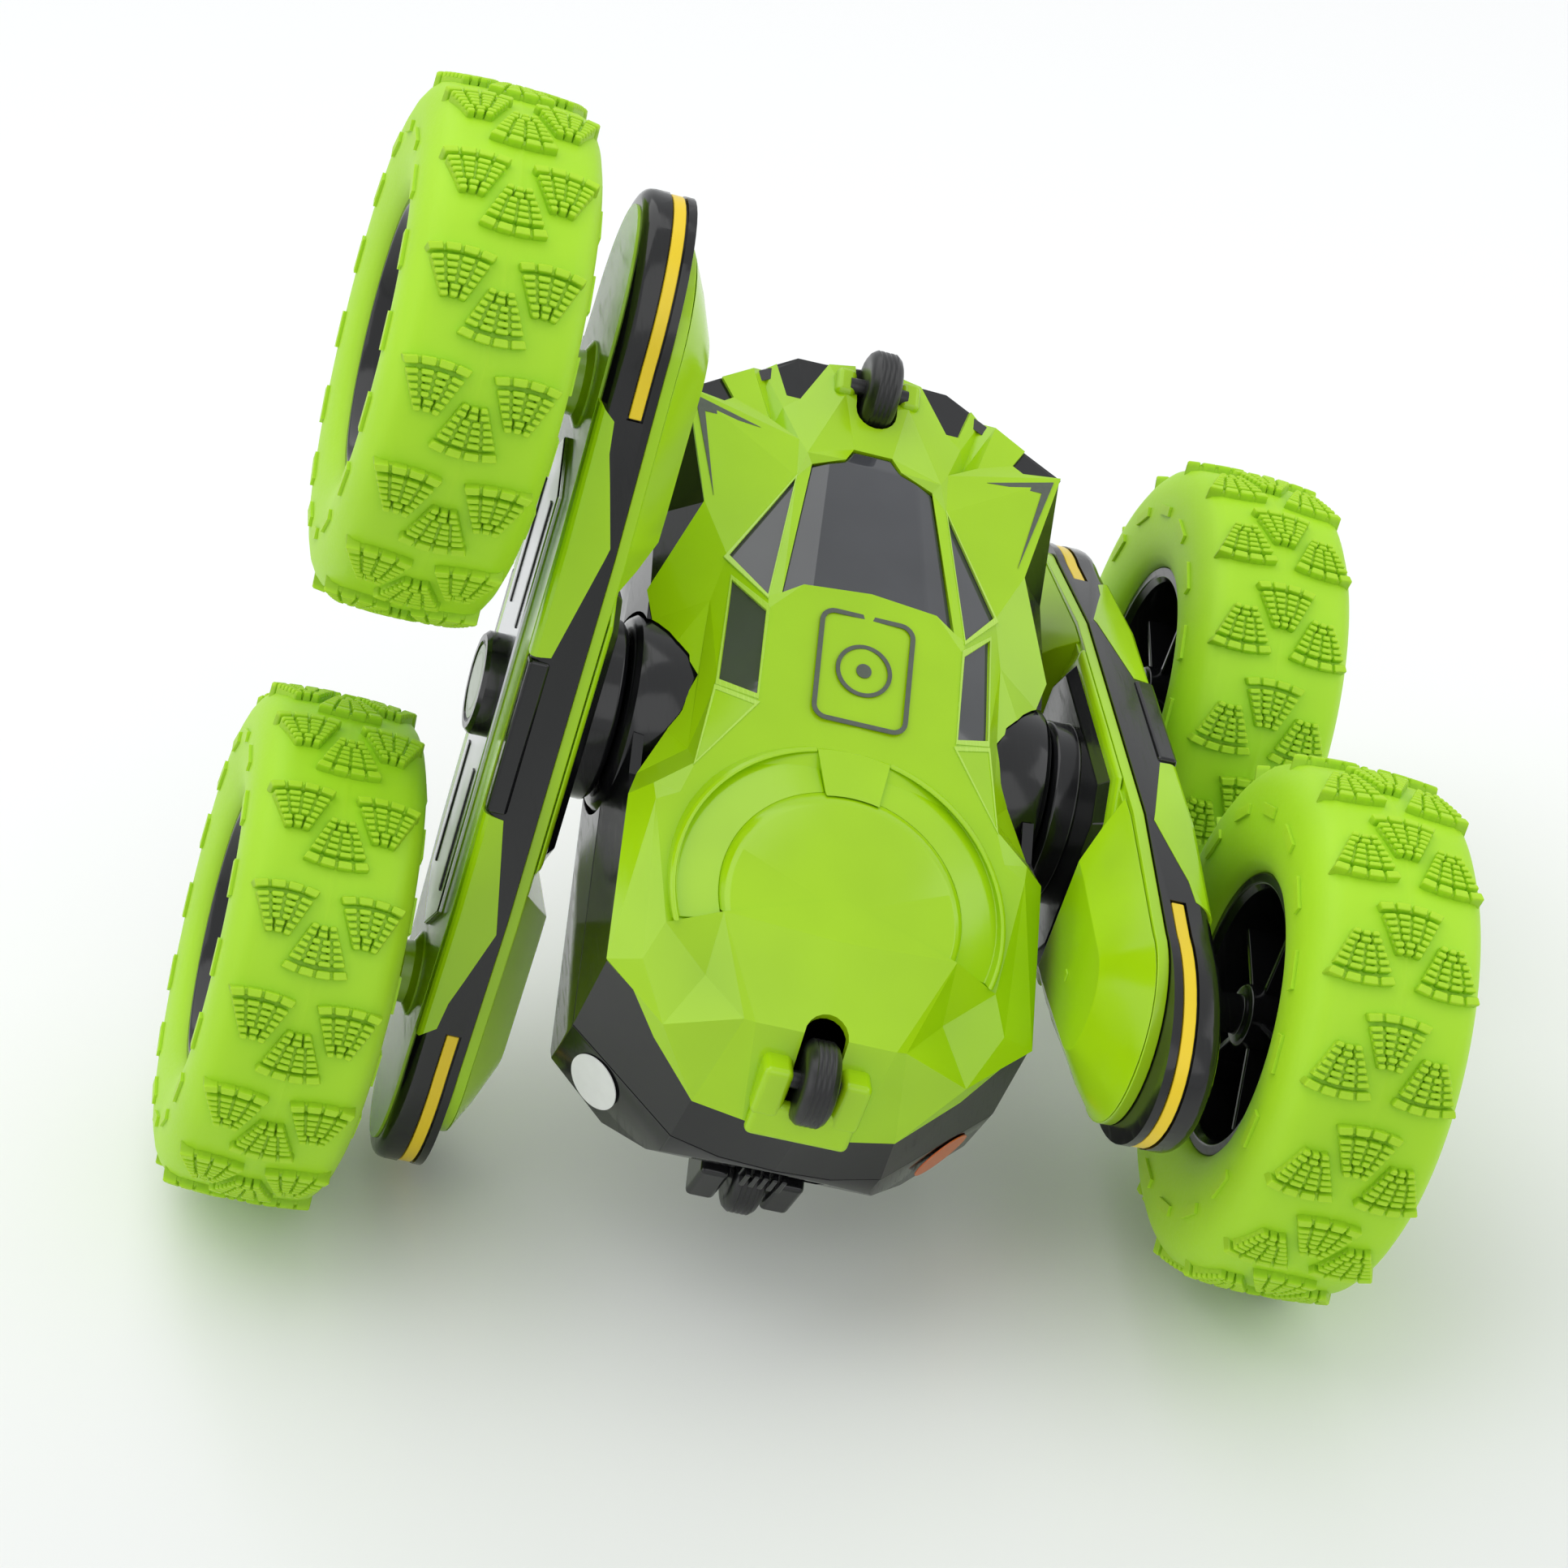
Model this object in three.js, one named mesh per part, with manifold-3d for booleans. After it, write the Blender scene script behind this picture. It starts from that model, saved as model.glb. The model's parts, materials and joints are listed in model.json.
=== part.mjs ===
// A radio-controlled stunt car: a faceted cockpit pod slung between two long gearbox arms,
// each arm pivoting on the pod and carrying two big soft wheels.
// It stands on three wheels, with the left arm swung up. Millimetres, +Z up.
import * as THREE from "three";
import { mergeVertices } from "three/addons/utils/BufferGeometryUtils.js";
import Module from "manifold-3d";

const wasm = await Module();
wasm.setup();
const deg = THREE.MathUtils.degToRad;

// Wheels: a 0.98 x 2.91 inch tyre on a spoked rim.
const TYRE_R = 37;
const TYRE_W = 24.9;
const BEAD_R = 20;
const TYRE_WALL = 2;
const SPOKES = 5;

// Layout of the running gear about the pivot axis, which is local X.
const HALF_TRACK = 65.8;
const AXLE_REACH = 45.8;

// How it stands: the arms are splayed apart, and the car rolls until three wheels touch.
const SPLAY = deg(83.1);
const POD_PITCH = deg(33.1);
const STANCE_ROLL = Math.atan((AXLE_REACH * Math.sin(SPLAY)) / (2 * HALF_TRACK));

// Arm, as layers across its thickness (distances from the pod's middle plane).
const ARM_HALF_L = 74.5;
const ARM_HALF_W = 18;
const ARM_TIP_HALF_W = 14.8;
const ARM_TIP_U = 54;
const X_BULGE = 32.6;
const X_INSET = 35;
const X_BAND = 39.4;
const X_SKIRT = 43.6;
const X_COVER = 45.6;
const X_FACE = 46.9;
const WALL = 1.8;
const GAP = 0.25;

// Gear train in each arm: pinion, idler, wheel gear along the arm.
const PINION_TEETH = 10;
const IDLER_TEETH = 18;
const WHEEL_TEETH = 14;
const MODULE = (2 * AXLE_REACH) / (WHEEL_TEETH + 2 * IDLER_TEETH + PINION_TEETH);
const IDLER_U = (MODULE * (PINION_TEETH + IDLER_TEETH)) / 2;
const GEAR_X = 40.3;
const GEAR_T = 3;
const AXLE_R = 1.5;

// Pod.
const POD_TAIL = 63.4;
const POD_NOSE = 59.5;
const POD_HALF_W = 30;
const BOSS_R = 14.5;
const BOSS_X = 31;
const SPIGOT_R = 9;
const ROLLER_R = 6;
const ROLLER_W = 4.6;
const ROLLERS = {
  front_top_roller: [54.2, 14],
  front_bottom_roller: [54.2, -14],
  rear_top_roller: [-57.8, 16.3],
  rear_bottom_roller: [-57.8, -16.3],
};
const SWITCH_TRAVEL = 4;

// ---- materials ----
const paint = (color, roughness, metalness = 0) => new THREE.MeshStandardMaterial({ color, roughness, metalness });
const limeAbs = paint(0x9fd11f, 0.28);
const limeVinyl = paint(0x9bd62a, 0.7);
const blackAbs = paint(0x232325, 0.25);
const windowPlastic = paint(0x3a3b3e, 0.12);
const yellowAbs = paint(0xf5c52a, 0.35);
const silverTrim = paint(0xd4d6d8, 0.15, 0.9);
const greyAbs = paint(0xc9cacb, 0.35);
const steel = paint(0xb4b6b8, 0.3, 1);
const acetal = paint(0xf0ede2, 0.45);
const boardGreen = paint(0x1f6b3a, 0.5);
const cellBlue = paint(0x2d62a8, 0.4);

// ---- solids from three.js geometry ----
function solid(geometry) {
  const bare = geometry.clone();
  bare.deleteAttribute("normal");
  bare.deleteAttribute("uv");
  const welded = mergeVertices(bare, 1e-4);
  const mesh = new wasm.Mesh({
    numProp: 3,
    vertProperties: welded.attributes.position.array,
    triVerts: new Uint32Array(welded.index.array),
  });
  return new wasm.Manifold(mesh);
}

function geometryOf(body) {
  const mesh = body.getMesh();
  const geometry = new THREE.BufferGeometry();
  geometry.setAttribute("position", new THREE.BufferAttribute(mesh.vertProperties, 3));
  geometry.setIndex(new THREE.BufferAttribute(mesh.triVerts, 1));
  geometry.computeVertexNormals();
  return geometry;
}

const polygon = (points) => new THREE.Shape(points.map(([a, b]) => new THREE.Vector2(a, b)));
const mirrored = (half) => [...half, ...half.map(([a, b]) => [-a, b]).reverse()];

// A shape drawn in (y, z) and pushed along X, in (x, y) along Z, or in (x, z) along Y.
function prism(shape, from, to, axes, curveSegments = 5) {
  const geometry = new THREE.ExtrudeGeometry(shape, { depth: to - from, bevelEnabled: false, curveSegments });
  geometry.translate(0, 0, from);
  return solid(geometry.applyMatrix4(axes));
}
const unit = { x: new THREE.Vector3(1, 0, 0), y: new THREE.Vector3(0, 1, 0), z: new THREE.Vector3(0, 0, 1) };
const onX = new THREE.Matrix4().makeBasis(unit.y, unit.z, unit.x);
const onY = new THREE.Matrix4().makeBasis(unit.x, unit.z, unit.y.clone().negate());
const onZ = new THREE.Matrix4();
const alongX = (shape, x0, x1, segments) => prism(shape, x0, x1, onX, segments);
const alongZ = (shape, z0, z1, segments) => prism(shape, z0, z1, onZ, segments);
const alongY = (shape, y0, y1) => prism(shape, -y1, -y0, onY);

// A round bar on an axis parallel to X.
function rod(radius, x0, x1, y = 0, z = 0, segments = 12) {
  const geometry = new THREE.CylinderGeometry(radius, radius, x1 - x0, segments);
  geometry.rotateZ(-Math.PI / 2);
  geometry.translate((x0 + x1) / 2, y, z);
  return solid(geometry);
}

function box(x0, x1, y0, y1, z0, z1) {
  const geometry = new THREE.BoxGeometry(x1 - x0, y1 - y0, z1 - z0);
  geometry.translate((x0 + x1) / 2, (y0 + y1) / 2, (z0 + z1) / 2);
  return solid(geometry);
}

// A solid turned about X from [x, radius] points; a profile that starts off the axis is closed into a ring.
function turned(profile, segments) {
  const points = profile.map(([x, r]) => new THREE.Vector2(r, x));
  if (points[0].x > 0) points.push(points[0].clone());
  const geometry = new THREE.LatheGeometry(points, segments);
  geometry.rotateZ(-Math.PI / 2);
  return solid(geometry);
}

function part(group, name, body, material, x = 0, y = 0, z = 0) {
  const mesh = new THREE.Mesh(geometryOf(body), material);
  mesh.name = name;
  mesh.position.set(x, y, z);
  group.add(mesh);
  return mesh;
}

// ---- arm ----
// The arm's outline in (along, across), drawn in by d all round.
function armShape(d, halfLength = ARM_HALF_L) {
  const shape = new THREE.Shape();
  const tip = halfLength - d - ARM_TIP_U;
  shape.moveTo(-28, d - ARM_HALF_W);
  shape.lineTo(28, d - ARM_HALF_W);
  shape.absellipse(ARM_TIP_U, 0, tip, ARM_TIP_HALF_W - d, -Math.PI / 2, Math.PI / 2, false);
  shape.lineTo(28, ARM_HALF_W - d);
  shape.lineTo(-28, ARM_HALF_W - d);
  shape.absellipse(-ARM_TIP_U, 0, tip, ARM_TIP_HALF_W - d, Math.PI / 2, (3 * Math.PI) / 2, false);
  return shape;
}

const slab = (d, x0, x1, halfLength) => alongX(armShape(d, halfLength), x0, x1);
const bothEnds = (u0, u1, x0, x1) => box(x0, x1, u0, u1, -30, 30).add(box(x0, x1, -u1, -u0, -30, 30));

// The green inner half: a flat rim with a faceted bulge towards the pod at each end.
function innerHalf(d, deepTo) {
  const lengthwise = [
    [X_BULGE + d, 29 + d],
    [X_BULGE + d, 54 - d],
    [deepTo, 67.5 - d],
    [deepTo, 23 + d],
    [37.4, 23 + d],
  ];
  const crosswise = mirrored([
    [9 - d, X_BULGE + d],
    [17.4 - d, 37],
    [17.4 - d, deepTo],
  ]).map(([w, x]) => [x, w]);
  const bulge = (side) => alongZ(polygon(lengthwise.map(([x, u]) => [x, side * u])), -20, 20);
  const section = alongY(polygon(crosswise), -80, 80);
  const wings = bulge(1).add(bulge(-1)).intersect(section).intersect(slab(d + 0.4, X_BULGE - 1, deepTo + 1, 68));
  return wings.add(slab(d + 0.4, 37.4 + d, deepTo, 68));
}

const armParts = {};
armParts.inner_shell = innerHalf(0, X_BAND - 0.2)
  .subtract(innerHalf(WALL, X_BAND + 1))
  .subtract(rod(SPIGOT_R + 1, 36, 41, 0, 0, 24));

// Black insert in the middle of the inner half, with the collar that turns on the pod's spigot.
const insetOutline = polygon(mirrored([[18, -17], [22.3, -12], [22.3, 12], [18, 17]]));
armParts.pivot_collar = alongX(insetOutline, X_INSET, 37.1)
  .add(rod(13, BOSS_X + 0.5, X_INSET + 0.5, 0, 0, 24))
  .subtract(rod(SPIGOT_R + 0.3, BOSS_X, 38, 0, 0, 24));

// Black band round the arm, with a groove for the accent stripe at each end.
const stripeZone = (u, x0, x1) => bothEnds(u, 80, x0, x1);
const ring = (outer, inner, x0, x1) => slab(outer, x0, x1).subtract(slab(inner, x0 - 1, x1 + 1));
armParts.mid_band = ring(0, WALL, X_BAND, X_COVER - GAP)
  .subtract(ring(-1, 0.9, 41, 43.2).intersect(stripeZone(47, 40, 44)))
  .subtract(slab(-1, X_SKIRT - GAP, 47).intersect(bothEnds(12 - GAP, 47 + GAP, 40, 50)));

const stripe = ring(-0.15, 0.9 - GAP, 41 + GAP, 43.2 - GAP).intersect(stripeZone(47 + GAP, 40, 44));
armParts.front_stripe = stripe.intersect(box(30, 60, 0, 90, -30, 30));
armParts.rear_stripe = stripe.intersect(box(30, 60, -90, 0, -30, 30));

// Green outer cover: a plate with skirts, a bearing boss for each axle and a pin for each idler.
const bothAxles = (radius, x0, x1, u) => rod(radius, x0, x1, u).add(rod(radius, x0, x1, -u));
armParts.outer_cover = slab(1, X_COVER, X_FACE)
  .add(ring(0, 1.6, X_SKIRT, X_COVER + 0.5).intersect(bothEnds(12, 47, 40, 50)))
  .add(bothAxles(4.5, X_COVER, 50, AXLE_REACH))
  .add(bothAxles(1.6, X_BAND, X_COVER + 0.5, IDLER_U))
  .subtract(bothAxles(AXLE_R + 0.3, 40, 55, AXLE_REACH));

// Silver trim plate and the round badge on the arm's outer face.
armParts.trim_plate = alongX(
  polygon([[-38, 0], [-32, -8.5], [32, -8.5], [38, 0], [32, 8.5], [-32, 8.5]]),
  X_FACE + 0.2,
  X_FACE + 0.9,
);
armParts.hub_badge = rod(7.4, X_FACE + 1.1, 50.4, 0, 0, 24).subtract(rod(5.6, 50, 51, 0, 0, 24));

// A gear with straight-sided teeth round X, its first tooth at angle 0 from +Y.
function gear(teeth, boreRadius, phase) {
  const pitch = (MODULE * teeth) / 2;
  const step = (2 * Math.PI) / teeth;
  const points = [];
  for (let i = 0; i < teeth; i++) {
    const flanks = [
      [-0.29, pitch - MODULE],
      [-0.11, pitch + 0.75 * MODULE],
      [0.11, pitch + 0.75 * MODULE],
      [0.29, pitch - MODULE],
    ];
    for (const [turn, r] of flanks) {
      const a = (i + turn) * step + phase;
      points.push([r * Math.cos(a), r * Math.sin(a)]);
    }
  }
  const body = alongX(polygon(points), GEAR_X, GEAR_X + GEAR_T);
  return boreRadius ? body.subtract(rod(boreRadius, 30, 60, 0, 0, 8)) : body;
}

const wheelShaft = (phase) => gear(WHEEL_TEETH, 0, phase).add(rod(AXLE_R, 38, 74));
const idler = (phase) => gear(IDLER_TEETH, 1.9, phase);
const halfTooth = Math.PI / IDLER_TEETH;

// ---- wheel, about its own centre ----
const HALF = TYRE_W / 2;
const tyreBody = turned(
  [
    [2.2 - HALF, BEAD_R], [-HALF, 24], [-HALF, 31], [1.6 - HALF, 35], [4.2 - HALF, TYRE_R],
    [HALF - 4.2, TYRE_R], [HALF - 1.6, 35], [HALF, 31], [HALF, 24], [HALF - 2.2, BEAD_R],
    [HALF - TYRE_WALL, 31], [HALF - 4.5, TYRE_R - TYRE_WALL],
    [4.5 - HALF, TYRE_R - TYRE_WALL], [TYRE_WALL - HALF, 31],
  ],
  26,
);
const rimBarrel = turned(
  [
    [-10, 17.6], [-10, 19.6], [10, 19.6], [10, 17.6], [4.5, 15.8], [4.5, 4.4], [9, 4.4],
    [9, AXLE_R + 0.2], [-9, AXLE_R + 0.2], [-9, 4.4], [2, 4.4], [2, 16],
  ],
  18,
);
let rimBody = rimBarrel;
for (let i = 0; i < SPOKES; i++) {
  const a0 = ((i + 0.16) * 2 * Math.PI) / SPOKES;
  const a1 = ((i + 0.84) * 2 * Math.PI) / SPOKES;
  const window = new THREE.Shape();
  window.absarc(0, 0, 14.2, a0, a1, false);
  window.absarc(0, 0, 6.6, a1 - 0.12, a0 + 0.12, true);
  rimBody = rimBody.subtract(alongX(window, 1, 6, 2));
}

// ---- pod ----
const planHalf = (d) => [
  [7 - d / 2, d - POD_TAIL + 1],
  [14 - d / 2, d - 60],
  [POD_HALF_W - d, d / 2 - 47.5],
  [POD_HALF_W - d, -20.5],
  [22 - d, -15.5],
  [22 - d, 3],
  [27.5 - d, 12],
  [28 - d, 45.5 - d / 2],
  [22 - d / 2, 52 - d],
  [11.5 - d / 2, POD_NOSE - d],
];
const profileTop = (d) => [
  [d - POD_TAIL, 8], [-53.4, 20.6 - d], [-46, 21.6 - d], [13, 21.4 - d], [43, 15.4 - d], [POD_NOSE - d, 11 - d],
  [POD_NOSE - d, 8],
];
const sectionTop = (d) => mirrored([[13.6 - d / 3, 22 - d], [24, 18.4 - d], [POD_HALF_W - d, 15.6 - d], [POD_HALF_W - d, 5]]);
const discGeometry = new THREE.CylinderGeometry(17.4, 18.6, 5, 32);
discGeometry.rotateX(Math.PI / 2);
discGeometry.translate(0, -34, 20.6);
const disc = solid(discGeometry).subtract(box(-25, 25, -60, -41, 10, 30));
const ridge = alongZ(polygon(mirrored([[9.6, -54], [16.9, -40]])), 10, 30).intersect(
  alongX(polygon([[-54, 20.5], [-40, 23.1], [-30, 23.1], [-30, 19.2], [-52, 18.6]]), -20, 20),
);
const upperBody = (d, base) =>
  alongZ(polygon(mirrored(planHalf(d))), base, 30)
    .intersect(alongX(polygon([...profileTop(d), [POD_NOSE - d, base], [d - POD_TAIL, base]]), -40, 40))
    .intersect(alongY(polygon(sectionTop(d)), -80, 80));

const WINDOWS = {
  windshield: mirrored([[12.6, 13.6], [9, 38], [3.6, 42.4]]),
  right_quarter_window: [[11.4, 33.6], [19.6, 19.8], [14.4, 12.2]],
  right_rear_window: [[18.9, 15], [19.6, -1.8], [14.4, -4], [14.4, 9.2]],
};
for (const name of ["quarter_window", "rear_window"]) {
  WINDOWS["left_" + name] = WINDOWS["right_" + name].map(([x, y]) => [-x, y]);
}
const centred = (points, grow) => {
  const cx = points.reduce((sum, p) => sum + p[0], 0) / points.length;
  const cy = points.reduce((sum, p) => sum + p[1], 0) / points.length;
  return points.map(([x, y]) => {
    const length = Math.hypot(x - cx, y - cy);
    return [x + ((x - cx) / length) * grow, y + ((y - cy) / length) * grow];
  });
};

const bossHole = rod(BOSS_R + 0.3, -40, 40, 0, 0, 24).subtract(box(-17, 17, -30, 30, -30, 30));
const slotFront = (z0, z1) => box(-3.1, 3.1, 47.5, 70, z0, z1);
const slotRear = (z0, z1) => box(-3.1, 3.1, -75, -50, z0, z1);

// Two lugs beside each roller, drilled for its stub axles.
function lugs([y, z]) {
  const side = Math.sign(z);
  const pair = box(3.3, 7, y - 3.6, y + 3.6, Math.min(side * 8.6, z + side * 2.8), Math.max(side * 8.6, z + side * 2.8));
  return pair.add(pair.mirror([1, 0, 0]));
}
const drilled = ([y, z]) => rod(1.6, -5.6, 5.6, y, z, 16);

const podParts = {};
let shell = upperBody(0, 8).subtract(upperBody(WALL, 7)).add(disc).add(ridge);
shell = shell.add(lugs(ROLLERS.front_top_roller)).add(lugs(ROLLERS.rear_top_roller));
shell = shell.subtract(slotFront(7, 30)).subtract(slotRear(7, 30)).subtract(bossHole);
shell = shell.subtract(drilled(ROLLERS.front_top_roller)).subtract(drilled(ROLLERS.rear_top_roller));
const glassLayer = upperBody(0.3, 8).subtract(upperBody(1.6, 7));
for (const [name, outline] of Object.entries(WINDOWS)) {
  shell = shell.subtract(alongZ(polygon(centred(outline, GAP)), 7, 30));
  podParts[name] = alongZ(polygon(outline), 7, 30).intersect(glassLayer);
}
podParts.upper_shell = shell;

// Black half shells below the green one.
const chassisHalf = (d) => [
  [8 - d / 2, d - 63.8],
  [15 - d / 2, d - 62.2],
  [POD_HALF_W + 0.3 - d, d / 2 - 49],
  [POD_HALF_W + 0.3 - d, 8],
  [28.4 - d, 46 - d / 2],
  [22 - d / 2, 53 - d],
  [11.5 - d / 2, 60 - d],
];
const chassis = (d, z0, z1) => alongZ(polygon(mirrored(chassisHalf(d))), z0, z1);
podParts.belt = chassis(0, 0.2, 7.8)
  .subtract(chassis(WALL, -1, 9))
  .subtract(bossHole)
  .add(box(-2.5, 2.5, -63.5, 59, 0.2, 7.8));

const keelProfile = (d) =>
  polygon([
    [-63.8 + d, 2], [-63.8 + d, -0.8], [-60.4 + d, -9.2 + d / 2], [-48, -22 + d], [40, -22 + d], [60 - d, -10 + d], [60 - d, 2],
  ]);
const keelSection = (d) => polygon(mirrored([[20 - d / 2, d - 22], [31 - d, d / 2 - 12.5], [31 - d, 2]]));
const keel = (d, top) =>
  chassis(d, -24, top).intersect(alongX(keelProfile(d), -40, 40)).intersect(alongY(keelSection(d), -80, 80));
podParts.lower_shell = keel(0, 0)
  .subtract(keel(WALL, 1))
  .add(lugs(ROLLERS.front_bottom_roller))
  .add(lugs(ROLLERS.rear_bottom_roller))
  .subtract(drilled(ROLLERS.front_bottom_roller))
  .subtract(drilled(ROLLERS.rear_bottom_roller))
  .subtract(slotFront(-30, -7))
  .subtract(box(-3.1, 3.1, -75, -50, -30, -10.2))
  .subtract(bossHole)
  .subtract(box(-3.9, 3.9 + SWITCH_TRAVEL, -70, -58.7, -7.9, -3.3))
  .subtract(box(-16.3, 16.3, -38.3, 22.3, -30, -19));
podParts.battery_cover = box(-16, 16, -38, 22, -22, -20.4);
podParts.battery = box(-14, 14, -36, 20, -20.1, -8);
podParts.circuit_board = box(-17, 17, 21, 44, -7.4, -5.8).add(box(-9, 9, 25, 36, -6, -2.6));
podParts.receiver_antenna = box(-16, 16, 46, 47, -7.4, -5.8).add(box(-1, 1, 46, 49, -7.4, -5.8));
podParts.switch_body = box(-7, 9, -58.4, -51.4, -7.6, -3.6);

// Drive motors lie across the pod on the pivot axis, inside the bosses.
const motorSection = new THREE.Shape();
motorSection.absarc(0, 0, 10, deg(-48), deg(48), false);
motorSection.absarc(0, 0, 10, deg(132), deg(228), false);
const bossBody = rod(BOSS_R, 19, BOSS_X, 0, 0, 24)
  .subtract(rod(12.4, 18, BOSS_X - 2, 0, 0, 24))
  .add(rod(SPIGOT_R, BOSS_X - 1, 38.2, 0, 0, 24))
  .subtract(rod(4, 20, 45, 0, 0, 24));
const motorBody = alongX(motorSection, 4, 28, 6).add(rod(3, 27, 29.5, 0, 0, 20)).subtract(rod(1.3, 20, 32, 0, 0, 16));
const pinionBody = gear(PINION_TEETH, 0, 0).add(rod(1, 21, 44, 0, 0, 16));

const rollerBody = turned(
  [
    [-5.2, 0], [-5.2, 1.3], [-ROLLER_W / 2, 1.3], [-ROLLER_W / 2, 4.7], [-1.5, ROLLER_R], [1.5, ROLLER_R],
    [ROLLER_W / 2, 4.7], [ROLLER_W / 2, 1.3], [5.2, 1.3], [5.2, 0],
  ],
  12,
);
const knobRib = (x) => box(x - 0.45, x + 0.45, -64, -62.4, -7.4, -3.8);
const knobBody = [-2.4, -0.8, 0.8, 2.4].reduce(
  (body, x) => body.add(knobRib(x)),
  box(-3.3, 3.3, -63.2, -58.9, -7.5, -3.7),
);

// ---- assembly ----
const stance = new THREE.Group();
stance.name = "stunt_car";
const frame = new THREE.Group();
frame.name = "pivot_frame";
frame.rotation.y = STANCE_ROLL;
stance.add(frame);

const pod = new THREE.Group();
pod.name = "pod";
pod.rotation.x = POD_PITCH;
frame.add(pod);
part(pod, "upper_shell", podParts.upper_shell, limeAbs);
for (const name of Object.keys(WINDOWS)) part(pod, name, podParts[name], windowPlastic);
part(pod, "belt", podParts.belt, blackAbs);
part(pod, "lower_shell", podParts.lower_shell, blackAbs);
part(pod, "battery_cover", podParts.battery_cover, blackAbs);
part(pod, "battery", podParts.battery, cellBlue);
part(pod, "circuit_board", podParts.circuit_board, boardGreen);
part(pod, "receiver_antenna", podParts.receiver_antenna, steel);
part(pod, "switch_body", podParts.switch_body, steel);
part(pod, "switch_knob", knobBody, blackAbs);
for (const [name, [y, z]] of Object.entries(ROLLERS)) part(pod, name, rollerBody, blackAbs, 0, y, z);

for (const side of ["left", "right"]) {
  const mirrorSign = side === "left" ? -1 : 1;
  const mount = new THREE.Group();
  mount.name = side + "_mount";
  mount.scale.x = mirrorSign;
  pod.add(mount);
  part(mount, side + "_pivot_boss", bossBody, blackAbs);
  part(mount, side + "_motor", motorBody, steel);

  const arm = new THREE.Group();
  arm.name = side + "_arm";
  arm.scale.x = mirrorSign;
  arm.rotation.x = side === "left" ? SPLAY : 0;
  frame.add(arm);
  const named = (name) => side + "_" + name;
  part(arm, named("inner_shell"), armParts.inner_shell, limeAbs);
  part(arm, named("pivot_collar"), armParts.pivot_collar, blackAbs);
  part(arm, named("mid_band"), armParts.mid_band, blackAbs);
  part(arm, named("outer_cover"), armParts.outer_cover, limeAbs);
  part(arm, named("trim_plate"), armParts.trim_plate, silverTrim);
  part(arm, named("hub_badge"), armParts.hub_badge, greyAbs);
  part(arm, named("front_stripe"), armParts.front_stripe, yellowAbs);
  part(arm, named("rear_stripe"), armParts.rear_stripe, yellowAbs);
  part(arm, named("pinion"), pinionBody, acetal);
  for (const [end, u] of [["front", 1], ["rear", -1]]) {
    const facing = u > 0 ? Math.PI : 0;
    part(arm, named(end + "_idler"), idler(halfTooth), acetal, 0, u * IDLER_U, 0);
    part(arm, named(end + "_shaft"), wheelShaft(facing), steel, 0, u * AXLE_REACH, 0);
    part(arm, named(end + "_rim"), rimBody, blackAbs, HALF_TRACK, u * AXLE_REACH, 0);
    part(arm, named(end + "_tyre"), tyreBody, limeVinyl, HALF_TRACK, u * AXLE_REACH, 0);
  }
}

// The origin is under the middle of the whole car, on the floor it stands on.
stance.updateMatrixWorld(true);
const reach = new THREE.Box3().setFromObject(stance, true);
const middle = reach.getCenter(new THREE.Vector3());
stance.position.set(-middle.x, -middle.y, -reach.min.z);

export default stance;
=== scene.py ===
import json
import math

import bmesh
import bpy
from mathutils import Matrix, Vector

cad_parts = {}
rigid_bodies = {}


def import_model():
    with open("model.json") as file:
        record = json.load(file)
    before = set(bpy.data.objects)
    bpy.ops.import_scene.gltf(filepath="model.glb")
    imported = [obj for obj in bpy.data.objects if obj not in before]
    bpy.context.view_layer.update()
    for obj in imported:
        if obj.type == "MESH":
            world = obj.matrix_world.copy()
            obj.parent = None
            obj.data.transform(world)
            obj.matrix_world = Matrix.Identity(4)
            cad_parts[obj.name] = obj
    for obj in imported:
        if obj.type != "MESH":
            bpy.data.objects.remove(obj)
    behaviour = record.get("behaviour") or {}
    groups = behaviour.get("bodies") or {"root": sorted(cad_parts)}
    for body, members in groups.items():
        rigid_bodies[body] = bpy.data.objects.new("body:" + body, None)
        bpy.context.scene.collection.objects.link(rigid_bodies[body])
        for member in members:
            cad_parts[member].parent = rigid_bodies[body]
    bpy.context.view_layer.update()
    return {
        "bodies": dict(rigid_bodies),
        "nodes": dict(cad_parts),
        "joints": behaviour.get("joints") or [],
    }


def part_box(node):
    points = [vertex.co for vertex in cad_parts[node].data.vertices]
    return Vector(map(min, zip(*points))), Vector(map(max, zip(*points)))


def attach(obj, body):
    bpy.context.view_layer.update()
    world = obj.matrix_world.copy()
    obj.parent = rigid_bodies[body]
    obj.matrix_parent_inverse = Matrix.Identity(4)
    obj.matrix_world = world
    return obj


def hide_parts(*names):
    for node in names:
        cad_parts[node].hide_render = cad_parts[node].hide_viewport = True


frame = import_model()

# ---- Studio ----
# The car stands on a pale seamless table under big soft boxes.
# The table is a satin laminate sheet: it takes a soft shadow and a faint reflection.
MM = 0.001
joints = {joint["name"]: joint for joint in frame["joints"]}
pivot = Vector(joints["left_arm_pivot"]["pos_m"])
axle = Vector(joints["left_arm_pivot"]["axis"]).normalized()

EYE = Vector((-40.7, -563.7, 323.0)) * MM
LOOK = Vector((0.0551, 0.8639, -0.5007))
LOOK_UP = Vector((0.0692, 0.4970, 0.8650))
camera_data = bpy.data.cameras.new("camera")
camera_data.sensor_width = 36
camera_data.lens = 104.8
camera = bpy.data.objects.new("camera", camera_data)
across = LOOK.cross(LOOK_UP).normalized()
turn = Matrix((across, across.cross(LOOK).normalized(), -LOOK.normalized())).transposed()
camera.matrix_world = Matrix.Translation(pivot + EYE) @ turn.to_4x4()
bpy.context.scene.collection.objects.link(camera)
bpy.context.scene.camera = camera
bpy.context.scene.view_settings.view_transform = "Standard"


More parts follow.
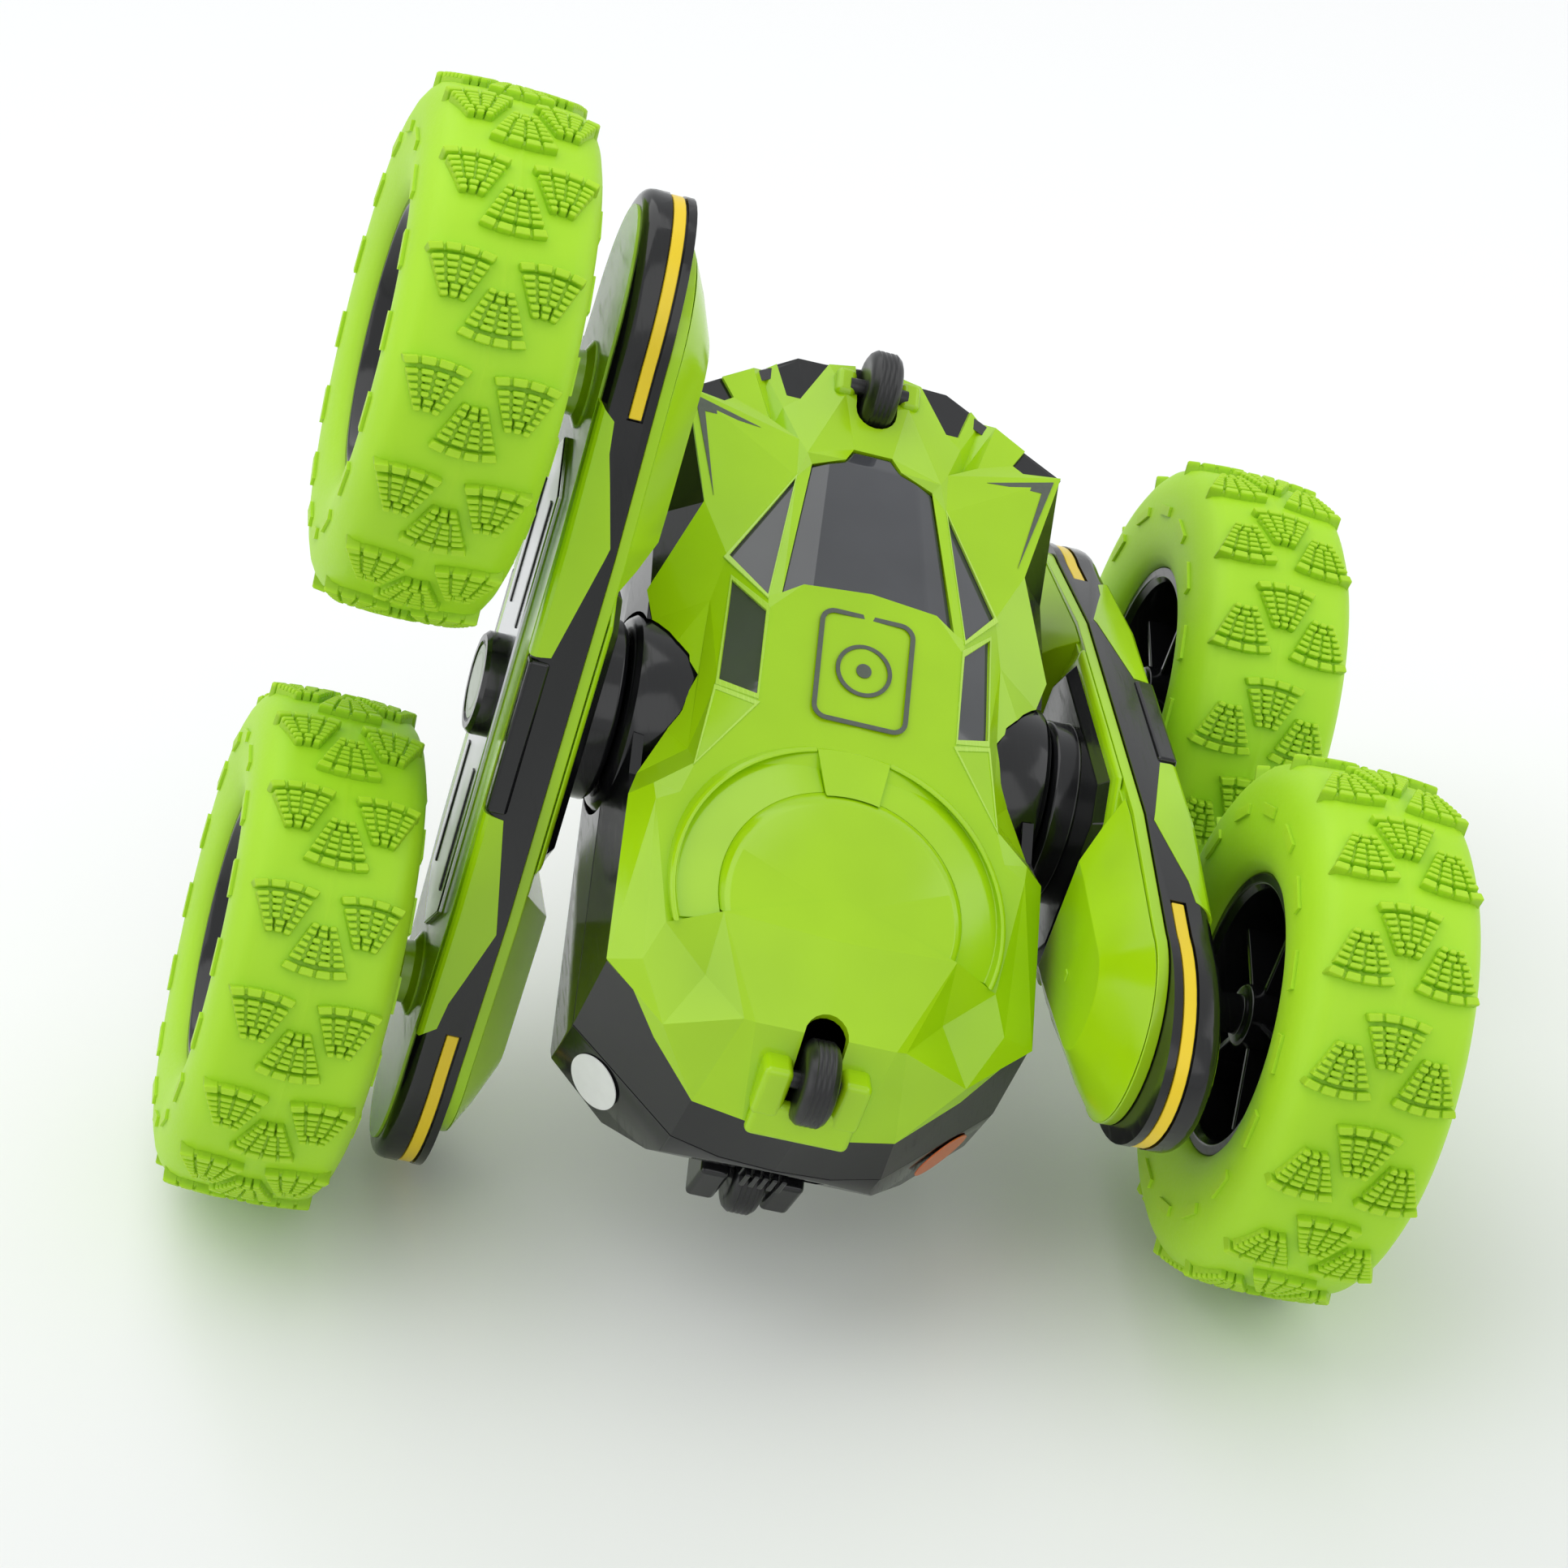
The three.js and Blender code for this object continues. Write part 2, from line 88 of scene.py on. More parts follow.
def softbox(name, place, aim, size, power):
    """A square studio light at place, pointing at aim."""
    data = bpy.data.lights.new(name, "AREA")
    data.size = size
    data.energy = power
    lamp = bpy.data.objects.new(name, data)
    lamp.location = place
    lamp.rotation_euler = (Vector(aim) - Vector(place)).to_track_quat("-Z", "Y").to_euler()
    bpy.context.scene.collection.objects.link(lamp)


softbox("key_softbox", (-0.25, 0.25, 1.05), pivot, 1.3, 5.0)
softbox("front_softbox", (0.3, -1.0, 0.75), pivot, 0.9, 1.6)
softbox("right_softbox", (1.0, -0.1, 0.5), pivot, 0.8, 1.7)
softbox("left_softbox", (-1.0, -0.3, 0.5), pivot, 0.8, 1.5)


def linear(hex_colour):
    """An sRGB hex colour as linear red, green, blue and alpha."""
    channels = [int(hex_colour[i : i + 2], 16) / 255 for i in (1, 3, 5)]
    return [c / 12.92 if c <= 0.04045 else ((c + 0.055) / 1.055) ** 2.4 for c in channels] + [1.0]


def add_node(tree, kind, inputs=None, **settings):
    """Adds a node; each input is given a value, or the output that feeds it."""
    made = tree.nodes.new(kind)
    for key, value in settings.items():
        setattr(made, key, value)
    for key, value in (inputs or {}).items():
        if isinstance(value, bpy.types.NodeSocket):
            tree.links.new(value, made.inputs[key])
        else:
            made.inputs[key].default_value = value
    return made


def new_material(name, **values):
    """A material with the given values on its Principled shader's own sockets."""
    made = bpy.data.materials.new(name)
    made.use_nodes = True
    shader = made.node_tree.nodes["Principled BSDF"]
    for key, value in values.items():
        shader.inputs[key.replace("_", " ")].default_value = value
    return made, made.node_tree, shader


def per_mm(size):
    """The texture scale, on coordinates in metres, of a pattern whose features are size mm apart."""
    return 1 / (size * MM)


world = bpy.data.worlds.new("studio")
bpy.context.scene.world = world
world.use_nodes = True
world.node_tree.nodes["Background"].inputs["Color"].default_value = linear("#F4F6F8")
world.node_tree.nodes["Background"].inputs["Strength"].default_value = 0.8

laminate, tree, shader = new_material("satin laminate", Roughness=0.32, Specular_IOR_Level=0.35)
# The table's colour is painted darker towards the front, from near white behind the car to pale grey in
# front: painted shade standing in for the studio light falling off towards the front.
place = add_node(tree, "ShaderNodeTexCoord")
depth = add_node(tree, "ShaderNodeSeparateXYZ", {"Vector": place.outputs["Object"]})
shade_falloff = add_node(tree, "ShaderNodeMapRange", {"Value": depth.outputs["Y"], "From Min": -0.3, "From Max": 0.05})
painted_shade_ramp = add_node(tree, "ShaderNodeValToRGB", {"Fac": shade_falloff.outputs["Result"]})
painted_shade_ramp.color_ramp.elements[0].color = linear("#D2D4D1")
painted_shade_ramp.color_ramp.elements[1].color = linear("#F8F8F7")
tree.links.new(painted_shade_ramp.outputs["Color"], shader.inputs["Base Color"])
bm = bmesh.new()
bmesh.ops.create_grid(bm, x_segments=2, y_segments=2, size=4.0)
floor_mesh = bpy.data.meshes.new("table")
bm.to_mesh(floor_mesh)
bm.free()
floor_mesh.materials.append(laminate)
table_top = bpy.data.objects.new("table", floor_mesh)
bpy.context.scene.collection.objects.link(table_top)

# ---- Pod: lower shell and belt ----
# Two black gloss ABS mouldings, the tub and the belt above it, split along the pod's middle plane.
# They are injection moulded in polished tools and screwed together from below.


def axes(origin, x_axis, y_axis):
    """Places a piece that is drawn in millimetres, with its x and y along the axes given.

    Its z is the axle crossed with y on both sides, so a left-hand piece comes out mirrored.
    """
    z_axis = axle.cross(y_axis)
    columns = [axis * MM for axis in (x_axis, y_axis, z_axis)]
    made = Matrix(columns).transposed().to_4x4()
    made.translation = origin
    return made


rollers = [name for name in frame["bodies"] if name.endswith("_roller")]
roller_at = {name: Vector(joints[name + "_spin"]["pos_m"]) for name in rollers}
pod_up = (roller_at["front_top_roller"] - roller_at["front_bottom_roller"]).normalized()
POD = axes(pivot, axle, pod_up.cross(axle))


def face_of(bm, points):
    """One face through the points."""
    return bm.faces.new([bm.verts.new(point) for point in points])


def push(bm, faces, vector):
    """Extrudes faces by a vector and returns the new vertices."""
    grown = bmesh.ops.extrude_face_region(bm, geom=faces, use_keep_orig=True)["geom"]
    moved = [part for part in grown if isinstance(part, bmesh.types.BMVert)]
    bmesh.ops.translate(bm, vec=vector, verts=moved)
    return moved


def both_sides(bm):
    """Adds the mirror image across the pod's middle plane."""
    bmesh.ops.mirror(bm, geom=everything(bm), axis="X", merge_dist=0.02)


def everything(bm):
    """All of a bmesh's geometry."""
    return bm.verts[:] + bm.edges[:] + bm.faces[:]


def close_ends(bm):
    """Fills every open end."""
    bmesh.ops.holes_fill(bm, edges=[edge for edge in bm.edges if edge.is_boundary], sides=0)


def turned(bm, profile, steps, angle=math.tau):
    """Turns a profile of (x, radius) points round local X; one that stays off the axis is a ring."""
    verts = [bm.verts.new((x, r, 0)) for x, r in profile]
    edges = [bm.edges.new(pair) for pair in zip(verts, verts[1:])]
    if profile[0][1] > 0 and profile[-1][1] > 0:
        edges.append(bm.edges.new((verts[-1], verts[0])))
    full = angle >= math.tau
    geometry = verts + edges
    bmesh.ops.spin(bm, geom=geometry, axis=(1, 0, 0), angle=angle, steps=steps, use_merge=full)
    if not full:
        close_ends(bm)
    bmesh.ops.remove_doubles(bm, verts=bm.verts, dist=0.004)


def lump(bm, size, centre, taper=1.0, turn=None):
    """A block of the given size about a centre, its +Z end scaled by taper."""
    made = bmesh.ops.create_cube(bm, size=1.0)["verts"]
    bmesh.ops.scale(bm, vec=size, verts=made)
    bmesh.ops.scale(bm, vec=(taper, taper, 1.0), verts=[v for v in made if v.co.z > 0])
    if turn:
        bmesh.ops.rotate(bm, cent=(0, 0, 0), matrix=turn, verts=made)
    bmesh.ops.translate(bm, vec=centre, verts=made)
    return made


def in_place(bm, where):
    """Welds a bmesh made in millimetres, puts it in place and turns its faces outwards."""
    bmesh.ops.remove_doubles(bm, verts=bm.verts, dist=0.002)
    bmesh.ops.transform(bm, matrix=where, verts=bm.verts)
    bmesh.ops.recalc_face_normals(bm, faces=bm.faces)
    return bm


def shade(bm, crease):
    """Smooth faces, with a hard edge wherever the surface turns by more than crease degrees."""
    for face in bm.faces:
        face.smooth = True
    for edge in bm.edges:
        edge.smooth = edge.calc_face_angle(0.0) < math.radians(crease)


def as_object(bm, name, finish=None):
    """Makes a bmesh an object and frees it."""
    mesh = bpy.data.meshes.new(name)
    bm.to_mesh(mesh)
    bm.free()
    if finish:
        mesh.materials.append(finish)
    piece = bpy.data.objects.new(name, mesh)
    bpy.context.scene.collection.objects.link(piece)
    return piece


def settle(bm, name, where, finish, crease=25):
    """Makes a bmesh an object in its place."""
    in_place(bm, where)
    shade(bm, crease)
    return as_object(bm, name, finish)


def wall(piece, thickness):
    """Gives an open skin its wall, inwards."""
    made = piece.modifiers.new("wall", "SOLIDIFY")
    made.thickness = thickness * MM
    made.offset = -1.0


def round_over(piece, width, segments=2, angle=12):
    """Breaks a moulding's edges, as every mould does."""
    made = piece.modifiers.new("edges", "BEVEL")
    made.width = width * MM
    made.segments = segments
    made.limit_method = "ANGLE"
    made.angle_limit = math.radians(angle)
    made.harden_normals = True


def carve(piece, *cutters, operation="DIFFERENCE"):
    """Cuts each cutter, a bmesh already in place, out of a piece whose walls are final."""
    for bm in cutters:
        tool = as_object(bm, "cutter")
        cut = piece.modifiers.new("cut", "BOOLEAN")
        cut.operation = operation
        cut.solver = "EXACT"
        cut.object = tool
        bpy.context.view_layer.update()
        solid = piece.evaluated_get(bpy.context.evaluated_depsgraph_get())
        piece.data = bpy.data.meshes.new_from_object(solid)
        piece.modifiers.clear()
        bpy.data.objects.remove(tool)
    bm = bmesh.new()
    bm.from_mesh(piece.data)
    shade(bm, 20)
    bm.to_mesh(piece.data)
    bm.free()


def fix(piece, body, slot, *nodes):
    """The piece rides on its body and hides the CAD nodes it stands for; slot is not used."""
    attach(piece, body)
    if nodes:
        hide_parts(*nodes)


FLOW_MM = 18
HAIR_MM = 3
HAIR_LEAN = (0.3, 0.5, 0.8)
HAIR_STRETCH = (9, 0.5, 0.5)
PEEL_MM = 1.4
PEEL_DEPTH = 0.03 * MM


def gloss_abs(name, colour, roughness, flow, marks):
    """Polished injection-moulded ABS: slow colour flow, a faint orange peel, and fine handling marks.

    flow is how far the colour drifts, and marks how much the hairlines dull the gloss.
    """
    made, tree, shader = new_material(name, IOR=1.53)
    place = add_node(tree, "ShaderNodeTexCoord").outputs["Object"]
    drift = add_node(tree, "ShaderNodeTexNoise", {"Vector": place, "Scale": per_mm(FLOW_MM), "Detail": 2.0})
    flow_ends = {"From Min": 0.3, "From Max": 0.7, "To Min": 1 - flow, "To Max": 1 + flow}
    level = add_node(tree, "ShaderNodeMapRange", {"Value": drift.outputs["Fac"]} | flow_ends)
    tint_of = {"Color": linear(colour), "Value": level.outputs["Result"]}
    tint = add_node(tree, "ShaderNodeHueSaturation", tint_of)
    tree.links.new(tint.outputs["Color"], shader.inputs["Base Color"])
    stretch_of = {"Vector": place, "Rotation": HAIR_LEAN, "Scale": HAIR_STRETCH}
    stretch = add_node(tree, "ShaderNodeMapping", stretch_of).outputs["Vector"]
    hair = add_node(tree, "ShaderNodeTexNoise", {"Vector": stretch, "Scale": per_mm(HAIR_MM), "Detail": 5.0})
    dull_ends = {"From Min": 0.52, "From Max": 0.72, "To Min": roughness, "To Max": roughness + marks}
    dull = add_node(tree, "ShaderNodeMapRange", {"Value": hair.outputs["Fac"]} | dull_ends)
    tree.links.new(dull.outputs["Result"], shader.inputs["Roughness"])
    peel = add_node(tree, "ShaderNodeTexNoise", {"Vector": place, "Scale": per_mm(PEEL_MM), "Detail": 1.0})
    relief_of = {"Height": peel.outputs["Fac"], "Strength": 0.25, "Distance": PEEL_DEPTH}
    relief = add_node(tree, "ShaderNodeBump", relief_of)
    tree.links.new(relief.outputs["Normal"], shader.inputs["Normal"])
    return made


# Black ABS polished in the tool: deep, with bright soft reflections and hairline marks.
black_abs = gloss_abs("black gloss ABS", "#121214", 0.14, 0.1, 0.12)

# Half of the gap between the tub and the belt.
SEAM = 0.15
TUB_DEPTH = 22
TUB_HALF = [(0, -64.2), (8, -63.8), (15, -62.2), (30.3, -49), (30.3, 14), (28.4, 46), (22, 53)]
TUB_HALF += [(11.5, 60), (0, 61)]
# Each keel cut is a plane through a point with an outward direction, on the pod's right side.
KEEL_CUTS = [
    ((31, 0, -12.5), (0.65, 0, -0.76)),
    ((0, -64.2, -0.6), (0, -0.93, -0.37)),
    ((0, -60.4, -9.2), (0, -0.72, -0.69)),
    ((0, 50, -16), (0, 0.5, -0.87)),
    ((26, -53, -12.5), (0.55, -0.5, -0.67)),
]
bm = bmesh.new()
outline = [(x, y, -SEAM) for x, y in TUB_HALF] + [(-x, y, -SEAM) for x, y in TUB_HALF[-2:0:-1]]
push(bm, [face_of(bm, outline)], (0, 0, -TUB_DEPTH))
for point, direction in KEEL_CUTS:
    for side in (1, -1):
        cut = bmesh.ops.bisect_plane(
            bm,
            geom=everything(bm),
            plane_co=(side * point[0], point[1], point[2]),
            plane_no=(side * direction[0], direction[1], direction[2]),
            clear_outer=True,
        )
        rim = [part for part in cut["geom_cut"] if isinstance(part, bmesh.types.BMEdge)]
        bmesh.ops.holes_fill(bm, edges=rim, sides=0)
lower_shell = settle(bm, "lower_tub", POD, black_abs)

BOSS_R = 14.5
BOSS_HOLE = [(21.2, 0), (21.2, BOSS_R - 2.2), (23.4, BOSS_R + 0.3), (40, BOSS_R + 0.3), (40, 0)]
SLOT_HALF = 3.1


def slot_cutter(y_from, y_to, z_from, z_to):
    """A slot with a round inner end, seen from above, for a roller."""
    bm = bmesh.new()
    reach = math.copysign(1, y_to - y_from)
    arc = [math.pi * i / 10 for i in range(11)]
    points = [(SLOT_HALF * math.cos(a), y_from - reach * SLOT_HALF * (math.sin(a) - 1), z_from) for a in arc]
    points += [(-SLOT_HALF, y_to, z_from), (SLOT_HALF, y_to, z_from)]
    push(bm, [face_of(bm, points)], (0, 0, z_to - z_from))
    return in_place(bm, POD)


def boss_cutter(side):
    """The round opening in the pod's flank that a pivot boss fills."""
    bm = bmesh.new()
    turned(bm, BOSS_HOLE, 48)
    bmesh.ops.scale(bm, vec=(side, 1, 1), verts=bm.verts)
    return in_place(bm, POD)


carve(
    lower_shell,
    slot_cutter(48.5, 70, -30, -7),
    slot_cutter(-50.5, -75, -30, -10.2),
    boss_cutter(1),
    boss_cutter(-1),
)
round_over(lower_shell, 0.4)
fix(lower_shell, "pod", "black_abs", "lower_shell")

# The black lugs that carry the lower rollers are part of the tub.
LOWER_LUG = (4.2, 7.4, 9.0)
LOWER_LUG_X = 5.4
bm = bmesh.new()
for y, z in ((-57.8, -15.55), (54.2, -13.4)):
    for side in (1, -1):
        lump(bm, LOWER_LUG, (side * LOWER_LUG_X, y, z))
lower_lugs = settle(bm, "lower_roller_lugs", POD, black_abs)
round_over(lower_lugs, 0.8, 3)
fix(lower_lugs, "pod", "black_abs")

BELT = {
    "stern_low": (0, -64.2, SEAM),
    "stern_a_low": (8, -63.8, SEAM),
    "stern_b_low": (15, -62.2, SEAM),
    "corner_low": (30.3, -49, SEAM),
    "side_low": (30.3, -15.5, SEAM),
    "boss_low": (30.3, 15.5, SEAM),
    "side_front_low": (29.5, 28, SEAM),
    "bow_c_low": (28.4, 46, SEAM),
    "bow_b_low": (22, 53, SEAM),
    "bow_a_low": (11.5, 60, SEAM),
    "bow_low": (0, 61, SEAM),
    "stern": (0, -63.3, 9.0),
    "stern_a": (7.6, -61.8, 9.1),
    "stern_b": (14.4, -59.7, 7.4),
    "stern_c": (21.7, -53.9, 12.2),
    "heel": (26.0, -49.3, 15.4),
    "corner": (29.9, -45.8, 15.8),
    "shoulder": (29.7, -20.6, 15.2),
    "boss_back": (29.4, -15.5, 12.0),
    "boss_front": (29.4, 15.5, 11.0),
    "under_notch": (24.0, 28.3, 14.9),
    "side_mid": (29.2, 29.0, 7.5),
    "wing": (28.3, 46.0, 15.0),
    "bow_c": (23.2, 50.4, 13.1),
    "bow_b": (15.0, 56.0, 11.4),
    "bow_ba": (11.5, 58.8, 10.3),
    "bow_a": (7.1, 58.3, 11.2),
    "bow": (0, 59.7, 11.0),
}
BELT_FACES = [
    "stern_low stern_a_low stern_a stern",
    "stern_a_low stern_b_low stern_b stern_a",
    "stern_b_low corner_low heel stern_c stern_b",
    "corner_low corner heel",
    "corner_low side_low boss_back shoulder corner",
    "side_low boss_low boss_front boss_back",
    "boss_low side_front_low side_mid boss_front",
    "boss_front side_mid under_notch",
    "side_front_low bow_c_low wing side_mid",
    "side_mid wing under_notch",
    "bow_c_low bow_b_low bow_c wing",
    "bow_b_low bow_a_low bow_ba bow_b bow_c",
    "bow_a_low bow_low bow bow_a bow_ba",
]


def facets(bm, points, rows):
    """Adds the facets of a half body, each named by its corners."""
    corners = {name: bm.verts.new(point) for name, point in points.items()}
    for row in rows:
        bm.faces.new([corners[name] for name in row.split()])


bm = bmesh.new()
facets(bm, BELT, BELT_FACES)
both_sides(bm)
belt = settle(bm, "belt_moulding", POD, black_abs)
wall(belt, 1.6)
carve(belt, boss_cutter(1), boss_cutter(-1))
round_over(belt, 0.3)
fix(belt, "pod", "black_abs", "belt")

# ---- Pod: upper shell ----
# One lime ABS moulding, all flat facets, with a round mound behind the cockpit and a faceted tail.
# It is injection moulded in a polished tool and snaps over the belt.
# Lime ABS polished in the tool: bright and even, with soft broad reflections.
lime_abs = gloss_abs("lime gloss ABS", "#A3D10C", 0.17, 0.05, 0.08)
SHELL = {
    "screen_mid": (0, 43.0, 14.8),
    "screen_step": (2.9, 43.0, 14.8),
    "screen_heel": (4.2, 40.4, 15.8),
    "screen_corner": (9.1, 38.4, 15.6),
    "screen_rear": (12.7, 13.2, 20.6),
    "roof_corner": (9.8, 15.0, 21.1),
    "roof_front": (0, 15.8, 21.4),
    "hood": (0, 50.5, 14.4),
    "nose": (0, 60, 11.6),
    "crest": (10.1, 39.7, 16.3),
    "foot": (11.3, 42.1, 15.4),
    "lug_root": (4.8, 52.5, 14.2),
    "lug_out": (7.1, 58.6, 11.6),
    "insert_heel": (11.2, 50.6, 12.9),
    "insert_side": (13.2, 50.8, 12.6),
    "insert_tip": (11.5, 59.1, 10.7),
    "insert_edge": (15.0, 56.3, 11.8),
    "gully": (14.5, 45.7, 11.8),
    "gully_side": (16.0, 45.2, 14.4),
    "gully_in": (13.6, 48.6, 12.7),
    "gully_front": (16.8, 55.2, 11.0),
    "gully_lip": (18.6, 53.9, 12.9),
    "fin_tip": (23.2, 50.7, 13.5),
    "fin_in": (21.3, 47.3, 14.1),
    "fin_heel": (22.8, 45.9, 14.8),
    "wing": (28.4, 46.3, 15.4),
    "notch": (24.1, 28.3, 15.3),
    "quarter_front": (11.3, 35.3, 16.2),
    "quarter_out": (20.0, 19.8, 16.0),
    "quarter_rear": (14.5, 12.3, 20.3),
    "rear_front": (19.2, 15.9, 16.8),
    "rear_top": (14.4, 10.2, 20.4),
    "rear_back": (14.5, -3.8, 20.4),
    "rear_out": (19.8, -1.5, 17.9),
    "recess_out": (20.0, -2.6, 17.9),
    "recess_top": (14.5, -5.0, 20.3),
    "recess_back": (21.8, -15.3, 18.8),
    "flank": (29.9, 14.2, 11.2),
    "sill_front": (21.6, 12.5, 15.2),
    "sill_back": (22.3, -11.5, 15.2),
    "roof_back": (0, -6.5, 20.9),
    "mound": (0, -33, 18.6),
    "dome_front": (0, -33.0, 22.8),
    "shoulder_notch": (23.4, -20.2, 18.6),
    "shoulder_front": (27.0, -19.2, 17.6),
    "shoulder_low": (29.9, -20.6, 15.6),
    "shoulder_crest": (26.6, -22.0, 18.4),
    "shoulder_rear": (25.6, -45.7, 17.6),
    "shoulder_out": (30.2, -46.1, 16.1),
    "shoulder_heel": (26.0, -49.6, 15.8),
    "arch_a": (28.6, 9.6, 11.2),
    "arch_b": (25.2, 5.8, 13.6),
    "arch_c": (22.0, 0.5, 14.9),
    "arch_d": (25.0, -8.0, 12.6),
    "boss_heel": (28.4, -15.5, 12.4),
    "ring_rear": (23.4, -40.4, 19.2),
    "dome_side": (16.5, -38.8, 22.8),
    "dome_rear": (9.9, -52.7, 20.3),
    "dome_back": (0, -52.7, 20.4),
    "dome_top": (0, -39.6, 22.8),
    "star_in": (16.8, -46.0, 17.5),
    "star_ridge": (11.4, -52.3, 19.8),
    "star_out": (21.4, -53.6, 15.6),
    "skirt_a": (21.7, -54.2, 12.4),
    "skirt_b": (14.4, -60.0, 7.6),
    "tail_side": (7.6, -62.0, 9.4),
    "tail": (0, -63.6, 9.3),
}
SHELL_FACES = [
    "screen_mid screen_step screen_heel screen_corner crest lug_root hood",
    "hood lug_root lug_out nose",
    "crest foot insert_heel lug_out lug_root",
    "foot gully gully_in insert_side insert_heel",
    "gully gully_front insert_edge insert_side gully_in",
    "gully gully_side gully_lip gully_front",
    "foot gully_side gully",
    "foot wing fin_heel fin_in fin_tip gully_lip gully_side",
    "foot crest quarter_front quarter_out notch wing",
    "crest screen_corner screen_rear quarter_rear quarter_front",
    "roof_front roof_corner screen_rear quarter_rear rear_top rear_back recess_top roof_back",
    "quarter_out quarter_rear rear_top rear_front",
    "rear_back rear_out recess_out recess_top",
    "quarter_out rear_front sill_front flank notch",
    "rear_front rear_out sill_back sill_front",
    "rear_out recess_out recess_back sill_back",
    "recess_out recess_top recess_back",
    "roof_back recess_top recess_back shoulder_notch mound",
    "shoulder_notch shoulder_crest ring_rear mound",
    "shoulder_crest shoulder_rear ring_rear",
    "sill_front arch_c arch_b arch_a flank",
    "sill_front sill_back arch_c",
    "sill_back arch_c arch_d boss_heel",
    "recess_back sill_back boss_heel shoulder_low shoulder_front shoulder_notch",
    "shoulder_notch shoulder_front shoulder_crest",
    "shoulder_front shoulder_low shoulder_out shoulder_rear shoulder_crest",
    "shoulder_rear shoulder_out shoulder_heel",
    "mound ring_rear dome_side dome_front",
    "dome_front dome_side dome_top",
    "ring_rear star_in star_ridge dome_rear dome_side",
    "dome_top dome_side dome_rear dome_back",
    "dome_back dome_rear tail_side tail",
    "ring_rear shoulder_rear star_out star_in",
    "star_in star_out star_ridge",
    "star_ridge star_out skirt_a skirt_b tail_side dome_rear",
    "shoulder_rear shoulder_heel skirt_a star_out",
]
RECESS = "recess_out recess_top recess_back"
bm = bmesh.new()
facets(bm, SHELL, SHELL_FACES)
bm.faces.ensure_lookup_table()
bmesh.ops.inset_region(
    bm,
    faces=[bm.faces[SHELL_FACES.index(RECESS)]],
    thickness=0.75,
    depth=-0.5,
    use_even_offset=True,
)
both_sides(bm)
bmesh.ops.triangulate(bm, faces=[face for face in bm.faces if len(face.verts) > 3])
upper_shell = settle(bm, "cockpit_shell", POD, lime_abs, crease=7)
wall(upper_shell, 1.4)
carve(
    upper_shell,
    slot_cutter(47.6, 70, 0, 30),
    slot_cutter(-49.6, -60.4, 0, 30),
    boss_cutter(1),
    boss_cutter(-1),
)
round_over(upper_shell, 0.3, 2, 9)
fix(upper_shell, "pod", "lime_abs", "upper_shell")

# The mound leans back as it rises: its foot and its flat top are circles about different centres.
MOUND_Y = -32.4
MOUND_Z = 19.9
LEAN = 0.93
PLATEAU = [(15, 0), (22.75, 0), (22.6, 15.9), (22.3, 16.6), (21.7, 17.1), (18.5, 17.6), (15, 17.6)]
TRENCH = [(15, 17.2), (21.2, 17.2), (19.3, 22.8), (19.6, 22.95), (20.5, 23.1), (20.6, 23.5)]
TRENCH += [(20.3, 23.9), (15, 24.3)]
BRIDGE = [(15, 17.2), (22.3, 17.2), (21.9, 17.8), (20.65, 23.6), (15, 24.0)]
# Angles from the nose, in degrees: the trench runs round each side as far as the shoulders.
SECTOR_STEP = 4
TRENCH_FROM = 13
TRENCH_TO = 109
PLATEAU_TO = 104
spans = [
    (PLATEAU, -PLATEAU_TO, PLATEAU_TO),
    (TRENCH, TRENCH_FROM, TRENCH_TO),
    (TRENCH, -TRENCH_TO, -TRENCH_FROM),
    (BRIDGE, -TRENCH_FROM, TRENCH_FROM),
]
bm = bmesh.new()
for profile, start, end in spans:
    sector = bmesh.new()
    turned(sector, profile, round((end - start) / SECTOR_STEP), math.radians(end - start))
    begin = Matrix.Rotation(math.radians(start), 3, "X")
    bmesh.ops.rotate(sector, matrix=begin, verts=sector.verts)
    sector_mesh = bpy.data.meshes.new("sector")
    sector.to_mesh(sector_mesh)
    sector.free()
    bm.from_mesh(sector_mesh)
    bpy.data.meshes.remove(sector_mesh)
# The turned shape's axis, local X, becomes the pod's up; its starting radius points to the nose.
STANDING = Matrix(((0, 0, -1, 0), (0, 1, 0, 0), (1, 0, 0, 0), (0, 0, 0, 1)))
bmesh.ops.transform(bm, matrix=STANDING, verts=bm.verts)
for vert in bm.verts:
    vert.co.y += MOUND_Y - LEAN * (vert.co.z - MOUND_Z)
mound = settle(bm, "mound", POD, lime_abs)
round_over(mound, 0.22, 2, 20)
fix(mound, "pod", "lime_abs")

# Round-nosed lugs hold each upper roller's stub axles, and a bar joins the rear ones along the tail's slope.
TAIL_SLOPE = Matrix.Rotation(math.radians(-28), 3, "X")
bm = bmesh.new()
for side in (1, -1):
    lump(bm, (4.2, 7.6, 8.0), (side * 5.5, -57.2, 14.0), turn=TAIL_SLOPE)
    lump(bm, (3.4, 5.0, 6.5), (side * 4.9, 54.6, 11.6), taper=0.9)
lump(bm, (14.6, 2.2, 6.0), (0, -61.6, 11.2), turn=TAIL_SLOPE)
upper_lugs = settle(bm, "upper_roller_lugs", POD, lime_abs)
round_over(upper_lugs, 1.0, 4)
fix(upper_lugs, "pod", "lime_abs")
